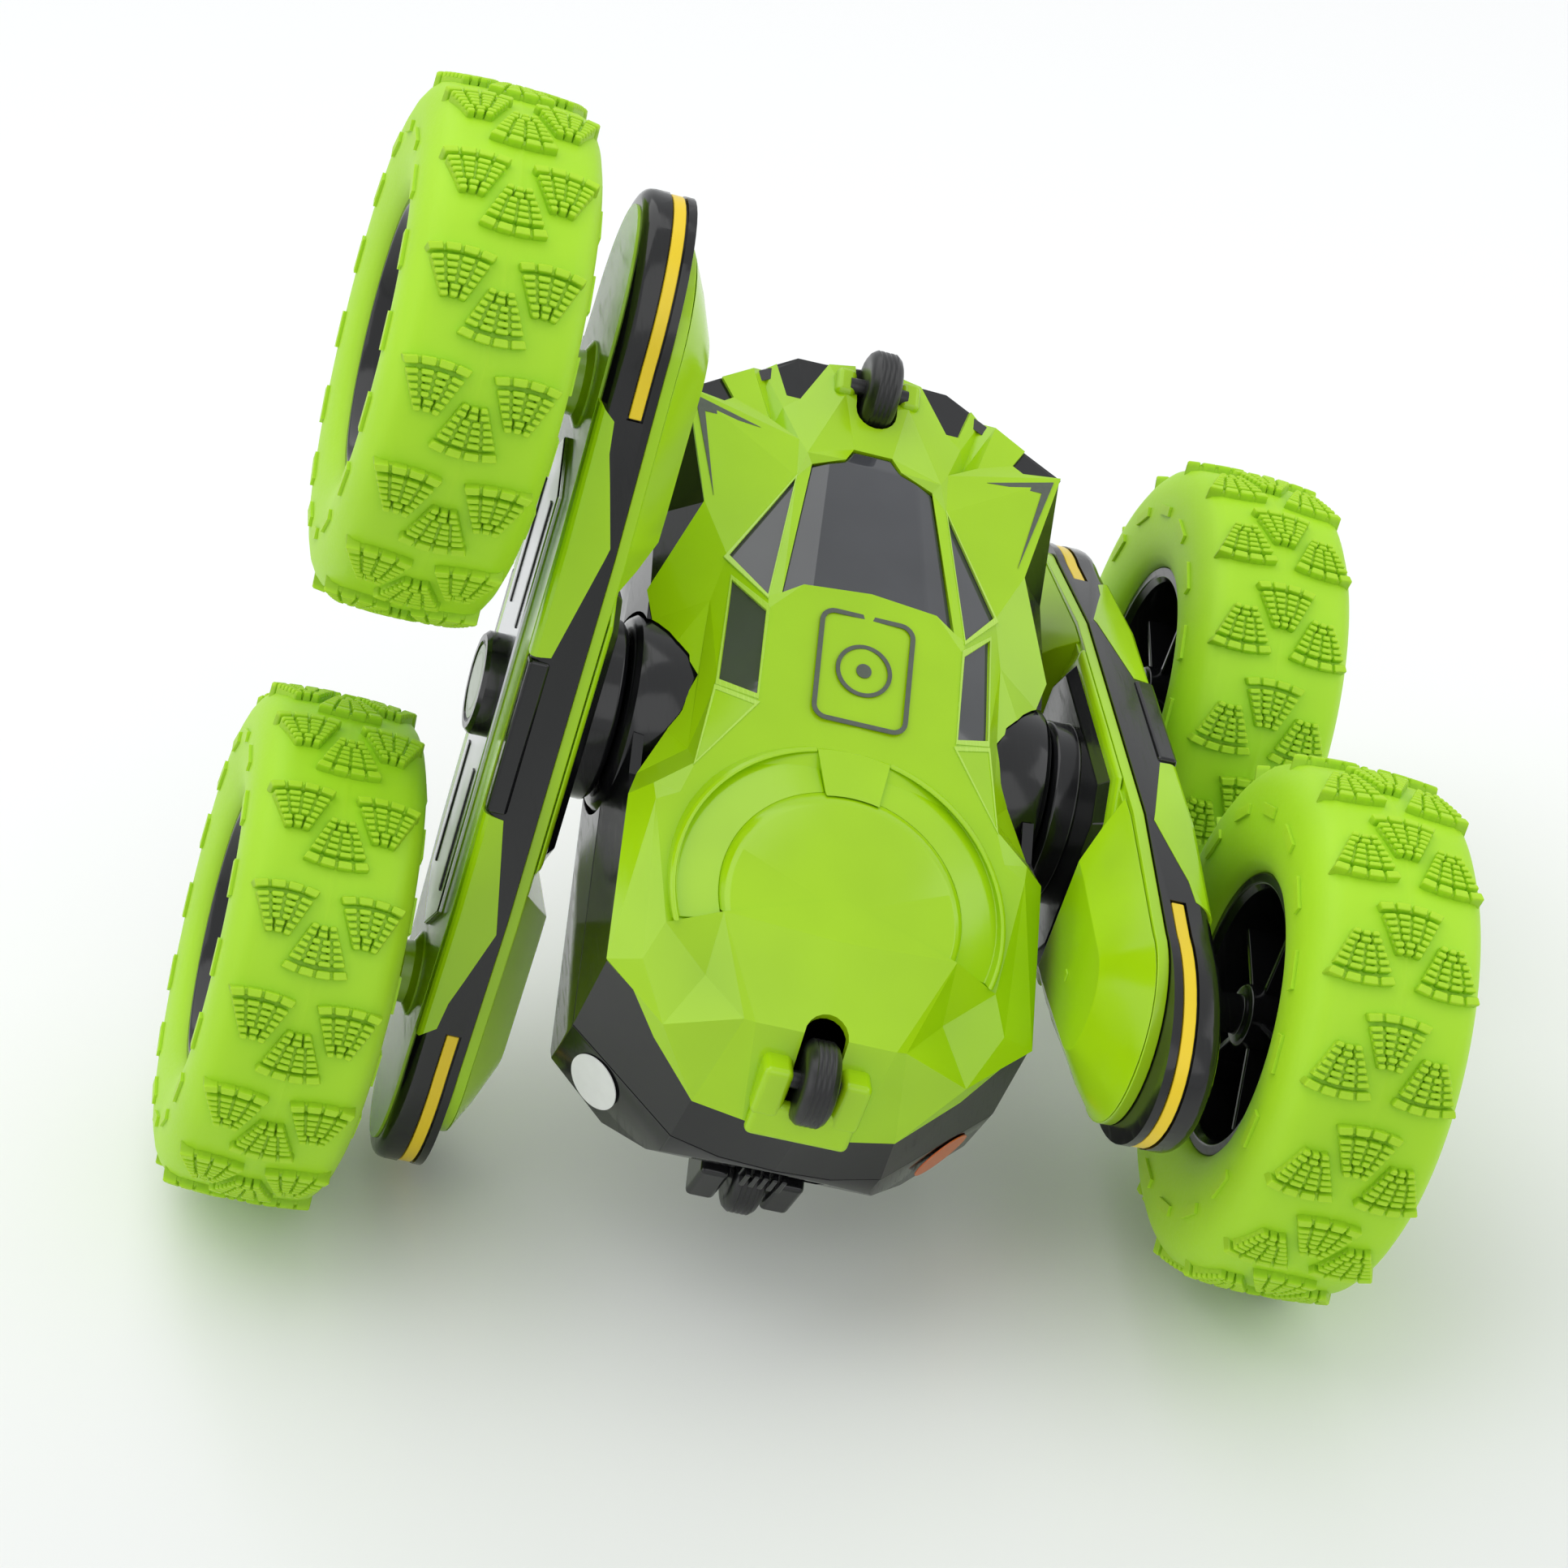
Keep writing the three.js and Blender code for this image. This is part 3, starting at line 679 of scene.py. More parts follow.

# ---- Windows ----
# Smoke-tinted polycarbonate panes, polished like glass, set a little below the shell.
# They are welded in from behind, and a raised lime bead runs round each; its paler colour is a painted
# highlight.
# Smoke polycarbonate looks nearly black, with a slow grey haze under a sharp gloss.
window_glass, tree, shader = new_material(
    "smoke polycarbonate", Roughness=0.07, IOR=1.58, Coat_Weight=0.35, Coat_Roughness=0.03
)
place = add_node(tree, "ShaderNodeTexCoord").outputs["Object"]
haze = add_node(tree, "ShaderNodeTexNoise", {"Vector": place, "Scale": per_mm(14), "Detail": 3.0})
tint = add_node(tree, "ShaderNodeValToRGB", {"Fac": haze.outputs["Fac"]})
tint.color_ramp.elements[0].color = linear("#35363A")
tint.color_ramp.elements[1].color = linear("#44454A")
tree.links.new(tint.outputs["Color"], shader.inputs["Base Color"])

# How far a pane lies below the shell, how thick it is, and how far it reaches under the shell's edge.
SINK = 0.45
PANE_THICKNESS = 1.2
UNDERLAP = 0.05
SIDES = (("right", 1), ("left", -1))
PANES = {
    "quarter": ["quarter_front", "quarter_out", "quarter_rear"],
    "rear": ["rear_front", "rear_top", "rear_back", "rear_out"],
}
for pane, corners in PANES.items():
    for side, sign in SIDES:
        bm = bmesh.new()
        points = [Vector((sign * x, y, z - SINK)) for x, y, z in (SHELL[corner] for corner in corners)]
        centre = sum(points, Vector()) / len(points)
        face_of(bm, [point + (point - centre) * UNDERLAP for point in points])
        bmesh.ops.triangulate(bm, faces=bm.faces)
        push(bm, bm.faces[:], (0, 0, -PANE_THICKNESS))
        glass = settle(bm, f"{side}_{pane}_pane", POD, window_glass)
        fix(glass, "pod", "tinted_window", f"{side}_{pane}_window")


def ring_of(bm, outline):
    """The edges of a closed loop through the points."""
    verts = [bm.verts.new(point) for point in outline]
    return [bm.edges.new(pair) for pair in zip(verts, verts[1:] + verts[:1])]


def band(bm, outer, inner, depth):
    """A closed band between two outlines of equal length, as deep as the vector says."""
    rings = ring_of(bm, outer) + ring_of(bm, inner)
    push(bm, bmesh.ops.bridge_loops(bm, edges=rings)["faces"], depth)


# The bead's paler lime is a painted highlight: it stands in for the light that the window frames' thin edges
# catch and let through.
bead_highlight_abs = gloss_abs("pale lime ABS", "#B6DE4E", 0.25, 0.05, 0.1)
BEAD_OUT = 0.6
BEAD_IN = 0.35
BEAD_FOOT = Vector((0, 0, -0.4))
BEAD_RISE = (0.08, 0, 0.52)
BEAD_LOOPS = list(PANES.values()) + [RECESS.split()]
bm = bmesh.new()
for corners in BEAD_LOOPS:
    points = [Vector(SHELL[corner]) for corner in corners]
    centre = sum(points, Vector()) / len(points)
    outer = [point + (point - centre).normalized() * BEAD_OUT + BEAD_FOOT for point in points]
    inner = [point - (point - centre).normalized() * BEAD_IN + BEAD_FOOT for point in points]
    band(bm, outer, inner, BEAD_RISE)
both_sides(bm)
beads = settle(bm, "window_beads", POD, bead_highlight_abs)
round_over(beads, 0.2, 2, 20)
fix(beads, "pod", "lime_abs")

SCREEN = {
    "mid": (0, 42.9, 14.5),
    "step": (2.9, 42.9, 14.5),
    "heel": (4.3, 40.3, 15.5),
    "fold_front": (6.6, 39.3, 15.8),
    "corner": (9.3, 38.3, 15.1),
    "rear": (13.0, 12.6, 20.0),
    "fold_rear": (8.6, 13.5, 21.0),
    "rear_mid": (0, 13.8, 21.0),
    "mid_front": (0, 40.2, 15.7),
}
SCREEN_FACES = [
    "mid step heel mid_front",
    "mid_front heel fold_front fold_rear rear_mid",
    "fold_front corner rear fold_rear",
]
bm = bmesh.new()
facets(bm, SCREEN, SCREEN_FACES)
both_sides(bm)
screen = settle(bm, "windshield_pane", POD, window_glass, crease=4)
wall(screen, PANE_THICKNESS)
round_over(screen, 0.5, 3, 6)
fix(screen, "pod", "tinted_window", "windshield")

# ---- Nose inserts and printed marks ----
# Four black gloss ABS plates close the openings in the shell's front edge, two on each side.
# The arrow marks, the roof frame and its ring are pad printed in a dull grey-green ink.
INSERTS = ("lug_out insert_heel insert_side insert_edge insert_tip", "fin_tip fin_in fin_heel wing")
INSERT_GROWTH = 1.06
INSERT_SINK = Vector((0, 0, 0.5))
bm = bmesh.new()
for corners in INSERTS:
    points = [Vector(SHELL[corner]) for corner in corners.split()]
    centre = sum(points, Vector()) / len(points)
    face_of(bm, [centre + (point - centre) * INSERT_GROWTH - INSERT_SINK for point in points])
push(bm, bm.faces[:], (0, 0, -1.5))
both_sides(bm)
inserts = settle(bm, "nose_inserts", POD, black_abs)
round_over(inserts, 0.15)
fix(inserts, "pod", "black_abs")


def mottled(name, colours, size, gloss, depth=0, detail=3.0, **values):
    """A finish whose colour and gloss drift between two ends over size mm, with a relief depth mm deep."""
    made, tree, shader = new_material(name, **values)
    place = add_node(tree, "ShaderNodeTexCoord").outputs["Object"]
    drift = add_node(tree, "ShaderNodeTexNoise", {"Vector": place, "Scale": per_mm(size), "Detail": detail})
    tone = add_node(tree, "ShaderNodeValToRGB", {"Fac": drift.outputs["Fac"]})
    for end, colour in zip(tone.color_ramp.elements, colours):
        end.color = linear(colour)
    tree.links.new(tone.outputs["Color"], shader.inputs["Base Color"])
    sheen_of = {"Value": drift.outputs["Fac"], "To Min": gloss[0], "To Max": gloss[1]}
    sheen = add_node(tree, "ShaderNodeMapRange", sheen_of)
    tree.links.new(sheen.outputs["Result"], shader.inputs["Roughness"])
    if depth:
        relief_of = {"Height": drift.outputs["Fac"], "Strength": 0.4, "Distance": depth * MM}
        relief = add_node(tree, "ShaderNodeBump", relief_of)
        tree.links.new(relief.outputs["Normal"], shader.inputs["Normal"])
    return made


# Pad printing ink: dull, and a little uneven where the pad let go.
ink = mottled("pad printing ink", ("#4A5148", "#5C6458"), 0.9, (0.35, 0.55), IOR=1.48)
FILM = 0.12
wing_corners = [Vector(SHELL[name]) for name in ("foot", "notch", "wing")]
wing_normal = (wing_corners[1] - wing_corners[0]).cross(wing_corners[2] - wing_corners[0]).normalized()
if wing_normal.z < 0:
    wing_normal.negate()


def on_wing(x, y):
    """A point on the wing facet's plane, by its place seen from above."""
    foot = wing_corners[0]
    slope = wing_normal.x * (x - foot.x) + wing_normal.y * (y - foot.y)
    return Vector((x, y, foot.z - slope / wing_normal.z)) + wing_normal * 0.1


bm = bmesh.new()
ARROW = [(17.2, 42.4), (27.3, 45.2), (22.9, 29.4), (25.6, 42.9)]
marked = face_of(bm, [on_wing(x, y) for x, y in ARROW])
push(bm, [marked], wing_normal * FILM)
both_sides(bm)
arrows = settle(bm, "wing_arrows", POD, ink)
fix(arrows, "pod", "black_abs")

ROOF_Z = 21.15


def on_roof(outline):
    """An outline seen from above, as points on the roof."""
    return [(x, y, ROOF_Z) for x, y in outline]


def rounded(half_x, half_y, radius, centre_y, steps=6):
    """A rectangle with round corners, as points."""
    points = []
    for i, (sx, sy) in enumerate(((1, 1), (-1, 1), (-1, -1), (1, -1))):
        for k in range(steps + 1):
            a = math.pi / 2 * (i + k / steps)
            points.append(
                (
                    sx * (half_x - radius) + radius * math.cos(a),
                    centre_y + sy * (half_y - radius) + radius * math.sin(a),
                )
            )
    return points


MARK_Y = 3.4
MARK_HALF_X = 7.0
MARK_HALF_Y = 8.9
MARK_CORNER = 2.2
LINE = 0.7
RING_R = 4.1
RING_LINE = 0.6
DOT_R = 1.1
frame_outer = rounded(MARK_HALF_X, MARK_HALF_Y, MARK_CORNER, MARK_Y)
frame_inner = rounded(MARK_HALF_X - LINE, MARK_HALF_Y - LINE, MARK_CORNER - LINE, MARK_Y)
circle = [(math.cos(math.tau * i / 48), math.sin(math.tau * i / 48)) for i in range(48)]
ring_outer, ring_inner, dot_edge = [
    [(radius * x, MARK_Y + radius * y) for x, y in circle] for radius in (RING_R, RING_R - RING_LINE, DOT_R)
]
bm = bmesh.new()
band(bm, on_roof(frame_outer), on_roof(frame_inner), (0, 0, FILM))
band(bm, on_roof(ring_outer), on_roof(ring_inner), (0, 0, FILM))
push(bm, [face_of(bm, on_roof(dot_edge))], (0, 0, FILM))
roof_mark = settle(bm, "roof_mark", POD, ink)
fix(roof_mark, "pod", "black_abs")

# ---- Stickers ----
# Two plain oval vinyl stickers on the tub's rear corners, white on the left and orange on the right.
# Each is a smooth glossy film.
STICKER_HALF_X = 4.2
STICKER_HALF_Z = 5.6
STICKER_AT = (25.1, -53.8, -6.2)
for name, sign, colour in (("white_sticker", -1, "#E9EAE8"), ("orange_sticker", 1, "#E8702A")):
    vinyl, tree, shader = new_material(name.replace("_", " ") + " vinyl", Roughness=0.28, IOR=1.5)
    place = add_node(tree, "ShaderNodeTexCoord").outputs["Object"]
    grain = add_node(tree, "ShaderNodeTexNoise", {"Vector": place, "Scale": per_mm(2.5), "Detail": 2.0})
    level_of = {"Value": grain.outputs["Fac"], "To Min": 0.93, "To Max": 1.05}
    level = add_node(tree, "ShaderNodeMapRange", level_of)
    tint_of = {"Color": linear(colour), "Value": level.outputs["Result"]}
    tint = add_node(tree, "ShaderNodeHueSaturation", tint_of)
    tree.links.new(tint.outputs["Color"], shader.inputs["Base Color"])
    bm = bmesh.new()
    oval = face_of(bm, [(STICKER_HALF_X * x, 0, STICKER_HALF_Z * y) for x, y in circle])
    push(bm, [oval], (0, -0.15, 0))
    corner_turn = Matrix.Rotation(math.atan2(14, 15.3), 4, "Z")
    bmesh.ops.transform(bm, matrix=Matrix.Translation(STICKER_AT) @ corner_turn, verts=bm.verts)
    bmesh.ops.scale(bm, vec=(sign, 1, 1), verts=bm.verts)
    sticker = settle(bm, name, POD, vinyl)
    fix(sticker, "pod", "badge_grey" if sign < 0 else "yellow_abs")

# ---- Battery door and switch ----
# The door is a black ABS plate in the tub's floor, held by two hooks and one screw.
# The power switch has a black ABS knob with five ribs that slides in a slot under the tail.
DOOR_Z = -20.6
DOOR_THICKNESS = 1.8
DOOR_OUTLINE = rounded(15.8, 29.8, 2.0, -8)
GRIP_RIB = (12, 0.8, 0.9)
bm = bmesh.new()
door = face_of(bm, [(x, y, DOOR_Z) for x, y in DOOR_OUTLINE])
push(bm, [door], (0, 0, -DOOR_THICKNESS))
for rib in range(5):
    lump(bm, GRIP_RIB, (0, 13 + 1.8 * rib, DOOR_Z - DOOR_THICKNESS - 0.1))
battery_door = settle(bm, "battery_door", POD, black_abs)
round_over(battery_door, 0.3, 2, 30)
fix(battery_door, "pod", "black_abs", "battery_cover")

KNOB_Y = -62.6
KNOB_Z = -5.6
bm = bmesh.new()
lump(bm, (6.4, 3.6, 3.8), (0, KNOB_Y + 1.9, KNOB_Z))
for rib in range(5):
    lump(bm, (0.8, 1.9, 3.8), (1.3 * (rib - 2), KNOB_Y - 0.5, KNOB_Z))
knob = settle(bm, "switch_knob_cap", POD, black_abs)
round_over(knob, 0.25, 3, 30)
fix(knob, "switch_knob", "black_abs", "switch_knob")

SLOT_X = 2.0
bm = bmesh.new()
lump(bm, (12.2, 9.0, 4.8), (SLOT_X, -63.0, KNOB_Z))
carve(lower_shell, in_place(bm, POD))

# ---- Rollers ----
# Four small wheels that let the car tumble end over end: black PVC, moulded with fine grooves.
# Each turns on its own stub axles between two lugs.
# Black PVC: duller than the ABS round it.
soft_black = gloss_abs("black PVC", "#161617", 0.3, 0.12, 0.15)
ROLLER_SIDE = [(4.4, 0), (4.4, 1.2), (2.3, 1.3), (2.35, 3.4), (2.45, 4.2), (2.35, 4.9)]
ROLLER_SIDE += [(2.05, 5.45), (1.6, 5.8)]
ROLLER = [(-x, r) for x, r in ROLLER_SIDE]
for middle in (-1.1, -0.37, 0.37, 1.1):
    ROLLER += [(middle - 0.22, 5.98), (middle, 5.88), (middle + 0.22, 5.98)]
ROLLER += ROLLER_SIDE[::-1]
for name in rollers:
    bm = bmesh.new()
    turned(bm, ROLLER, 44)
    tire = settle(bm, name + "_wheel", axes(roller_at[name], axle, pod_up.cross(axle)), soft_black, crease=40)
    fix(tire, name, "black_abs", name)

# ---- Pivot bosses ----
# Round black ABS cups on the pod's flanks; each arm turns on the cup's spigot.
# They are polished in the tool, with a broken rim and a step down to the spigot.
BOSS = [(19, 0), (19, 11.5), (19.8, 13.0), (21.3, 14.1), (23.4, 14.5), (28.6, 14.5)]
BOSS += [(29.9, 14.2), (30.7, 13.5), (31, 12.6), (31, 9.3), (38.2, 9.0), (38.2, 0)]
for side, sign in SIDES:
    bm = bmesh.new()
    turned(bm, BOSS, 72)
    bmesh.ops.scale(bm, vec=(sign, 1, 1), verts=bm.verts)
    boss = settle(bm, f"{side}_boss_cup", POD, black_abs)
    round_over(boss, 0.25, 2, 30)
    fix(boss, "pod", "black_abs", f"{side}_pivot_boss")

# ---- Arms ----
# Each arm is a closed gearbox: a lime inner shell with two bulges, a black band, and a lime outer cover.
# All are injection-moulded ABS; a yellow accent strip is snapped into a groove round each end.
ARM_HALF_W = 18
ARM_TIP_W = 14.8
ARM_TIP_U = 54
ARM_HALF_L = 74.5
BAND_X = 39.4
COVER_X = 46.9


def arm_outline(x, inwards=0.0, half_length=ARM_HALF_L):
    """The arm's outline at x from the car's middle plane, drawn in by inwards all round."""
    quarter = [math.pi / 2 * i / 12 for i in range(13)]
    reach = half_length - inwards - ARM_TIP_U
    corner = [(28, ARM_HALF_W - inwards)]
    corner += [(ARM_TIP_U + reach * math.sin(a), (ARM_TIP_W - inwards) * math.cos(a)) for a in quarter]
    half = corner + [(u, -w) for u, w in reversed(corner[:-1])]
    return [(x, u, w) for u, w in half] + [(x, -u, -w) for u, w in half]


# Yellow ABS: satin, so that the accents read flat.
yellow_abs = gloss_abs("yellow ABS", "#F2CF1C", 0.3, 0.04, 0.1)
# A film of aluminium on polished ABS: a bright mirror that handling has clouded a little.
METALLISED = ("#C2C4C6", "#D8D9DA")
silver_trim = mottled("vacuum-metallised ABS", METALLISED, 6, (0.14, 0.3), detail=4.0, Metallic=1.0)
# Light grey ABS: satin and plain.
badge_abs = gloss_abs("light grey ABS", "#C9CBC8", 0.3, 0.04, 0.12)


def bulge_loop(end, x, root, waist, half_w, centre, reach, tip_w):
    """One outline of the inner shell's bulge at x: square at its root, round at its toe."""
    quarter = [math.pi / 2 * i / 10 for i in range(11)]
    half = [(root, half_w), (waist, half_w)]
    half += [(centre + reach * math.sin(a) ** 0.9, tip_w * math.cos(a) ** 0.9) for a in quarter[:-1]]
    half += [(centre + reach, 0)]
    return [(x, end * u, w) for u, w in half] + [(x, end * u, -w) for u, w in reversed(half[:-1])]


INSET = [(18, -17), (22.3, -12), (22.3, 12), (18, 17), (-18, 17), (-22.3, 12), (-22.3, -12), (-18, -17)]
# Lower edge of the outer cover's skirt, as (x, along), from the arm's tip to its middle.
SKIRT = [(46.5, 48.3), (45.9, 47.6), (44.4, 46.4), (43.9, 42), (42.8, 38.2), (40.4, 29.5)]
SKIRT += [(44.0, 12.4), (46.5, 12.0)]


def cover_block(bm):
    """The space above the skirts' edges, right across the arm."""
    for end in (1, -1):
        side_view = [(x, end * u, -25) for x, u in SKIRT] + [(60, end * 12.0, -25), (60, end * 48.3, -25)]
        push(bm, [face_of(bm, side_view)], (0, 0, 50))


# The bulge's outlines from foot to top: x, root, waist, half width, toe centre, toe reach, toe half width.
BULGE = [
    (37.6, 23.0, 28.0, 16.9, 53.5, 14.2, 14.0),
    (35.2, 25.8, 30.5, 13.5, 52.0, 11.0, 11.4),
    (32.6, 29.0, 33.0, 8.8, 50.0, 6.8, 7.6),
]
INSET_LEVELS = ((37.5, 1.05), (36.9, 1.03), (36.6, 0.98))
COLLAR = [(31.4, 9.6), (31.4, 12.3), (32.1, 13.0), (36.0, 13.0), (36.0, 9.6)]
BEARING = [(46, 2.0), (46, 6.2), (47.3, 6.2), (48.1, 4.6), (49.6, 4.5), (50, 4.1), (50, 2.0)]
HUB = [(47.6, 0), (47.6, 7.4), (49.8, 7.4), (50.4, 6.8), (50.4, 5.9), (50.1, 5.7), (50.1, 0)]
BADGE = [(49.9, 0), (49.9, 5.4), (50.25, 5.3), (50.35, 4.4), (50.25, 4.2), (50.35, 4.0), (50.4, 0)]
TRIM = [(-38, 0), (-32, -8.5), (32, -8.5), (38, 0), (32, 8.5), (-32, 8.5)]
GROOVE_X = 40.6
GROOVE_W = 2.3
GROOVE_U = 47
STRIPE_X = 40.85
STRIPE_W = 1.8
STRIPE_U = 47.2


def soften_rim(bm, width, segments):
    """Rounds the edges of the arm's outer face."""
    rim = [edge for edge in bm.edges if all(vert.co.x > 46 for vert in edge.verts)]
    bmesh.ops.bevel(bm, geom=rim, offset=width, segments=segments, profile=0.5, affect="EDGES", material=-1)


arm_frames = {}
for side, sign in SIDES:
    arm = side + "_arm"
    front_wheel = Vector(joints[f"{side}_front_wheel_spin"]["pos_m"])
    rear_wheel = Vector(joints[f"{side}_rear_wheel_spin"]["pos_m"])
    ARM = axes(pivot, axle * sign, (front_wheel - rear_wheel).normalized())
    arm_frames[side] = ARM

    bm = bmesh.new()
    for end in (1, -1):
        rings = [ring_of(bm, bulge_loop(end, *level)) for level in BULGE]
        bmesh.ops.bridge_loops(bm, edges=rings[0] + rings[1])
        bmesh.ops.bridge_loops(bm, edges=rings[1] + rings[2])
        bmesh.ops.holes_fill(bm, edges=rings[0] + rings[2], sides=0)
        lump(bm, (0.3, 1.4, 1.4), (32.5, end * 42, -2.0))
    push(bm, [face_of(bm, arm_outline(37.3, 1.7, 67.6))], (0.5, 0, 0))
    push(bm, [face_of(bm, arm_outline(37.7, 0.4, 68.4))], (1.6, 0, 0))
    inner = settle(bm, f"{side}_inner_shell_moulding", ARM, lime_abs)
    round_over(inner, 0.7, 4, 20)
    fix(inner, arm, "lime_abs", f"{side}_inner_shell")

    bm = bmesh.new()
    for (x_low, grow_low), (x_high, grow_high) in zip(INSET_LEVELS, INSET_LEVELS[1:]):
        rings = ring_of(bm, [(x_low, u * grow_low, w * grow_low) for u, w in INSET])
        rings += ring_of(bm, [(x_high, u * grow_high, w * grow_high) for u, w in INSET])
        bmesh.ops.bridge_loops(bm, edges=rings)
    bmesh.ops.remove_doubles(bm, verts=bm.verts, dist=0.002)
    close_ends(bm)
    inset_frame = settle(bm, f"{side}_inset_frame", ARM, lime_abs)
    round_over(inset_frame, 0.3, 3)
    fix(inset_frame, arm, "lime_abs")

    bm = bmesh.new()
    foot = face_of(bm, [(37.2, u * 0.97, w * 0.97) for u, w in INSET])
    top = push(bm, [foot], (-1.9, 0, 0))
    bmesh.ops.scale(bm, vec=(1, 0.93, 0.87), verts=top)
    inset = settle(bm, f"{side}_inset_plate", ARM, black_abs)
    bm = bmesh.new()
    turned(bm, COLLAR, 64)
    carve(inset, in_place(bm, ARM), operation="UNION")
    round_over(inset, 0.25, 2)
    fix(inset, arm, "black_abs", f"{side}_pivot_collar")

    bm = bmesh.new()
    push(bm, [face_of(bm, arm_outline(BAND_X))], (COVER_X - BAND_X - 0.3, 0, 0))
    soften_rim(bm, 1.8, 5)
    black_band = settle(bm, f"{side}_band_moulding", ARM, black_abs)
    block = bmesh.new()
    cover_block(block)
    groove = bmesh.new()
    band(groove, arm_outline(GROOVE_X, -2), arm_outline(GROOVE_X, 0.8), (GROOVE_W, 0, 0))
    for cut_u in (GROOVE_U, -GROOVE_U):
        bmesh.ops.bisect_plane(groove, geom=everything(groove), plane_co=(0, cut_u, 0), plane_no=(0, 1, 0))
    middle = [face for face in groove.faces if abs(face.calc_center_median().y) < GROOVE_U - 0.1]
    bmesh.ops.delete(groove, geom=middle, context="FACES")
    close_ends(groove)
    carve(black_band, in_place(block, ARM), in_place(groove, ARM))
    round_over(black_band, 0.25, 2, 30)
    fix(black_band, arm, "black_abs", f"{side}_mid_band")

    for end, direction in (("front", 1), ("rear", -1)):
        bm = bmesh.new()
        band(bm, arm_outline(STRIPE_X, 0.15), arm_outline(STRIPE_X, 1.6), (STRIPE_W, 0, 0))
        cut_at = (0, STRIPE_U * direction, 0)
        cut_to = (0, -direction, 0)
        bmesh.ops.bisect_plane(bm, geom=everything(bm), plane_co=cut_at, plane_no=cut_to, clear_outer=True)
        close_ends(bm)
        stripe = settle(bm, f"{side}_{end}_accent", ARM, yellow_abs)
        round_over(stripe, 0.2, 2, 30)
        fix(stripe, arm, "yellow_abs", f"{side}_{end}_stripe")

    bm = bmesh.new()
    push(bm, [face_of(bm, arm_outline(40.0, -0.1))], (COVER_X - 40.0, 0, 0))
    soften_rim(bm, 1.4, 4)
    cover = settle(bm, f"{side}_cover_moulding", ARM, lime_abs)
    block = bmesh.new()
    cover_block(block)
    carve(cover, in_place(block, ARM), operation="INTERSECT")
    bosses = bmesh.new()
    push(bosses, [face_of(bosses, arm_outline(45.5, 2.6))], (COVER_X - 45.4, 0, 0))
    carve(cover, in_place(bosses, ARM), operation="UNION")
    bosses = bmesh.new()
    turned(bosses, BEARING, 40)
    front_bearing = bosses.verts[:]
    copied = bmesh.ops.duplicate(bosses, geom=everything(bosses))["geom"]
    rear_bearing = [part for part in copied if isinstance(part, bmesh.types.BMVert)]
    axle_at = (front_wheel - rear_wheel).length / 2 / MM
    bmesh.ops.translate(bosses, vec=(0, axle_at, 0), verts=front_bearing)
    bmesh.ops.translate(bosses, vec=(0, -axle_at, 0), verts=rear_bearing)
    carve(cover, in_place(bosses, ARM), operation="UNION")
    round_over(cover, 0.35, 3, 25)
    fix(cover, arm, "lime_abs", f"{side}_outer_cover")

    bm = bmesh.new()
    lump(bm, (3.0, 23.2, 36.9), (45.3, 0, 0))
    block_piece = settle(bm, f"{side}_middle_block", ARM, black_abs)
    round_over(block_piece, 0.6, 3, 30)
    fix(block_piece, arm, "black_abs")

    bm = bmesh.new()
    push(bm, [face_of(bm, [(COVER_X, u, w) for u, w in TRIM])], (0.9, 0, 0))
    trim = settle(bm, f"{side}_trim", ARM, silver_trim)
    round_over(trim, 0.3, 2)
    fix(trim, arm, "silver_trim", f"{side}_trim_plate")

    bm = bmesh.new()
    for w in (-5.2, 5.2):
        for direction in (1, -1):
            lump(bm, (0.3, 19, 1.1), (COVER_X + 0.95, direction * 20.5, w))
    lines = settle(bm, f"{side}_trim_lines", ARM, black_abs)
    round_over(lines, 0.1, 2, 30)
    fix(lines, arm, "black_abs")

    bm = bmesh.new()
    turned(bm, HUB, 56)
    hub = settle(bm, f"{side}_hub_cup", ARM, black_abs)
    fix(hub, arm, "black_abs")
    bm = bmesh.new()
    turned(bm, BADGE, 56)
    badge = settle(bm, f"{side}_hub_face", ARM, badge_abs)
    fix(badge, arm, "badge_grey", f"{side}_hub_badge")

# ---- Wheels ----
# Big soft tyres, blow-moulded from lime vinyl, pushed over black ABS rims with five spokes.
# The matt vinyl glows a little where light comes through it; each tread block is a fan of small pillows.
soft_vinyl, tree, shader = new_material(
    "soft lime vinyl",
    IOR=1.5,
    Specular_IOR_Level=0.4,
    Subsurface_Weight=0.25,
    Subsurface_Radius=(1.0, 1.0, 0.4),
    Subsurface_Scale=3 * MM,
)
place = add_node(tree, "ShaderNodeTexCoord").outputs["Object"]
drift = add_node(tree, "ShaderNodeTexNoise", {"Vector": place, "Scale": per_mm(25), "Detail": 2.0})
level_ends = {"From Min": 0.3, "From Max": 0.7, "To Min": 0.95, "To Max": 1.05}
level = add_node(tree, "ShaderNodeMapRange", {"Value": drift.outputs["Fac"]} | level_ends)
tint_of = {"Color": linear("#A9DC22"), "Value": level.outputs["Result"]}
tint = add_node(tree, "ShaderNodeHueSaturation", tint_of)
tree.links.new(tint.outputs["Color"], shader.inputs["Base Color"])
grain = add_node(tree, "ShaderNodeTexNoise", {"Vector": place, "Scale": per_mm(0.5), "Detail": 2.0})
rough = add_node(tree, "ShaderNodeMapRange", {"Value": grain.outputs["Fac"], "To Min": 0.42, "To Max": 0.6})
tree.links.new(rough.outputs["Result"], shader.inputs["Roughness"])
relief_of = {"Height": grain.outputs["Fac"], "Strength": 0.3, "Distance": 0.04 * MM}
relief = add_node(tree, "ShaderNodeBump", relief_of)
tree.links.new(relief.outputs["Normal"], shader.inputs["Normal"])

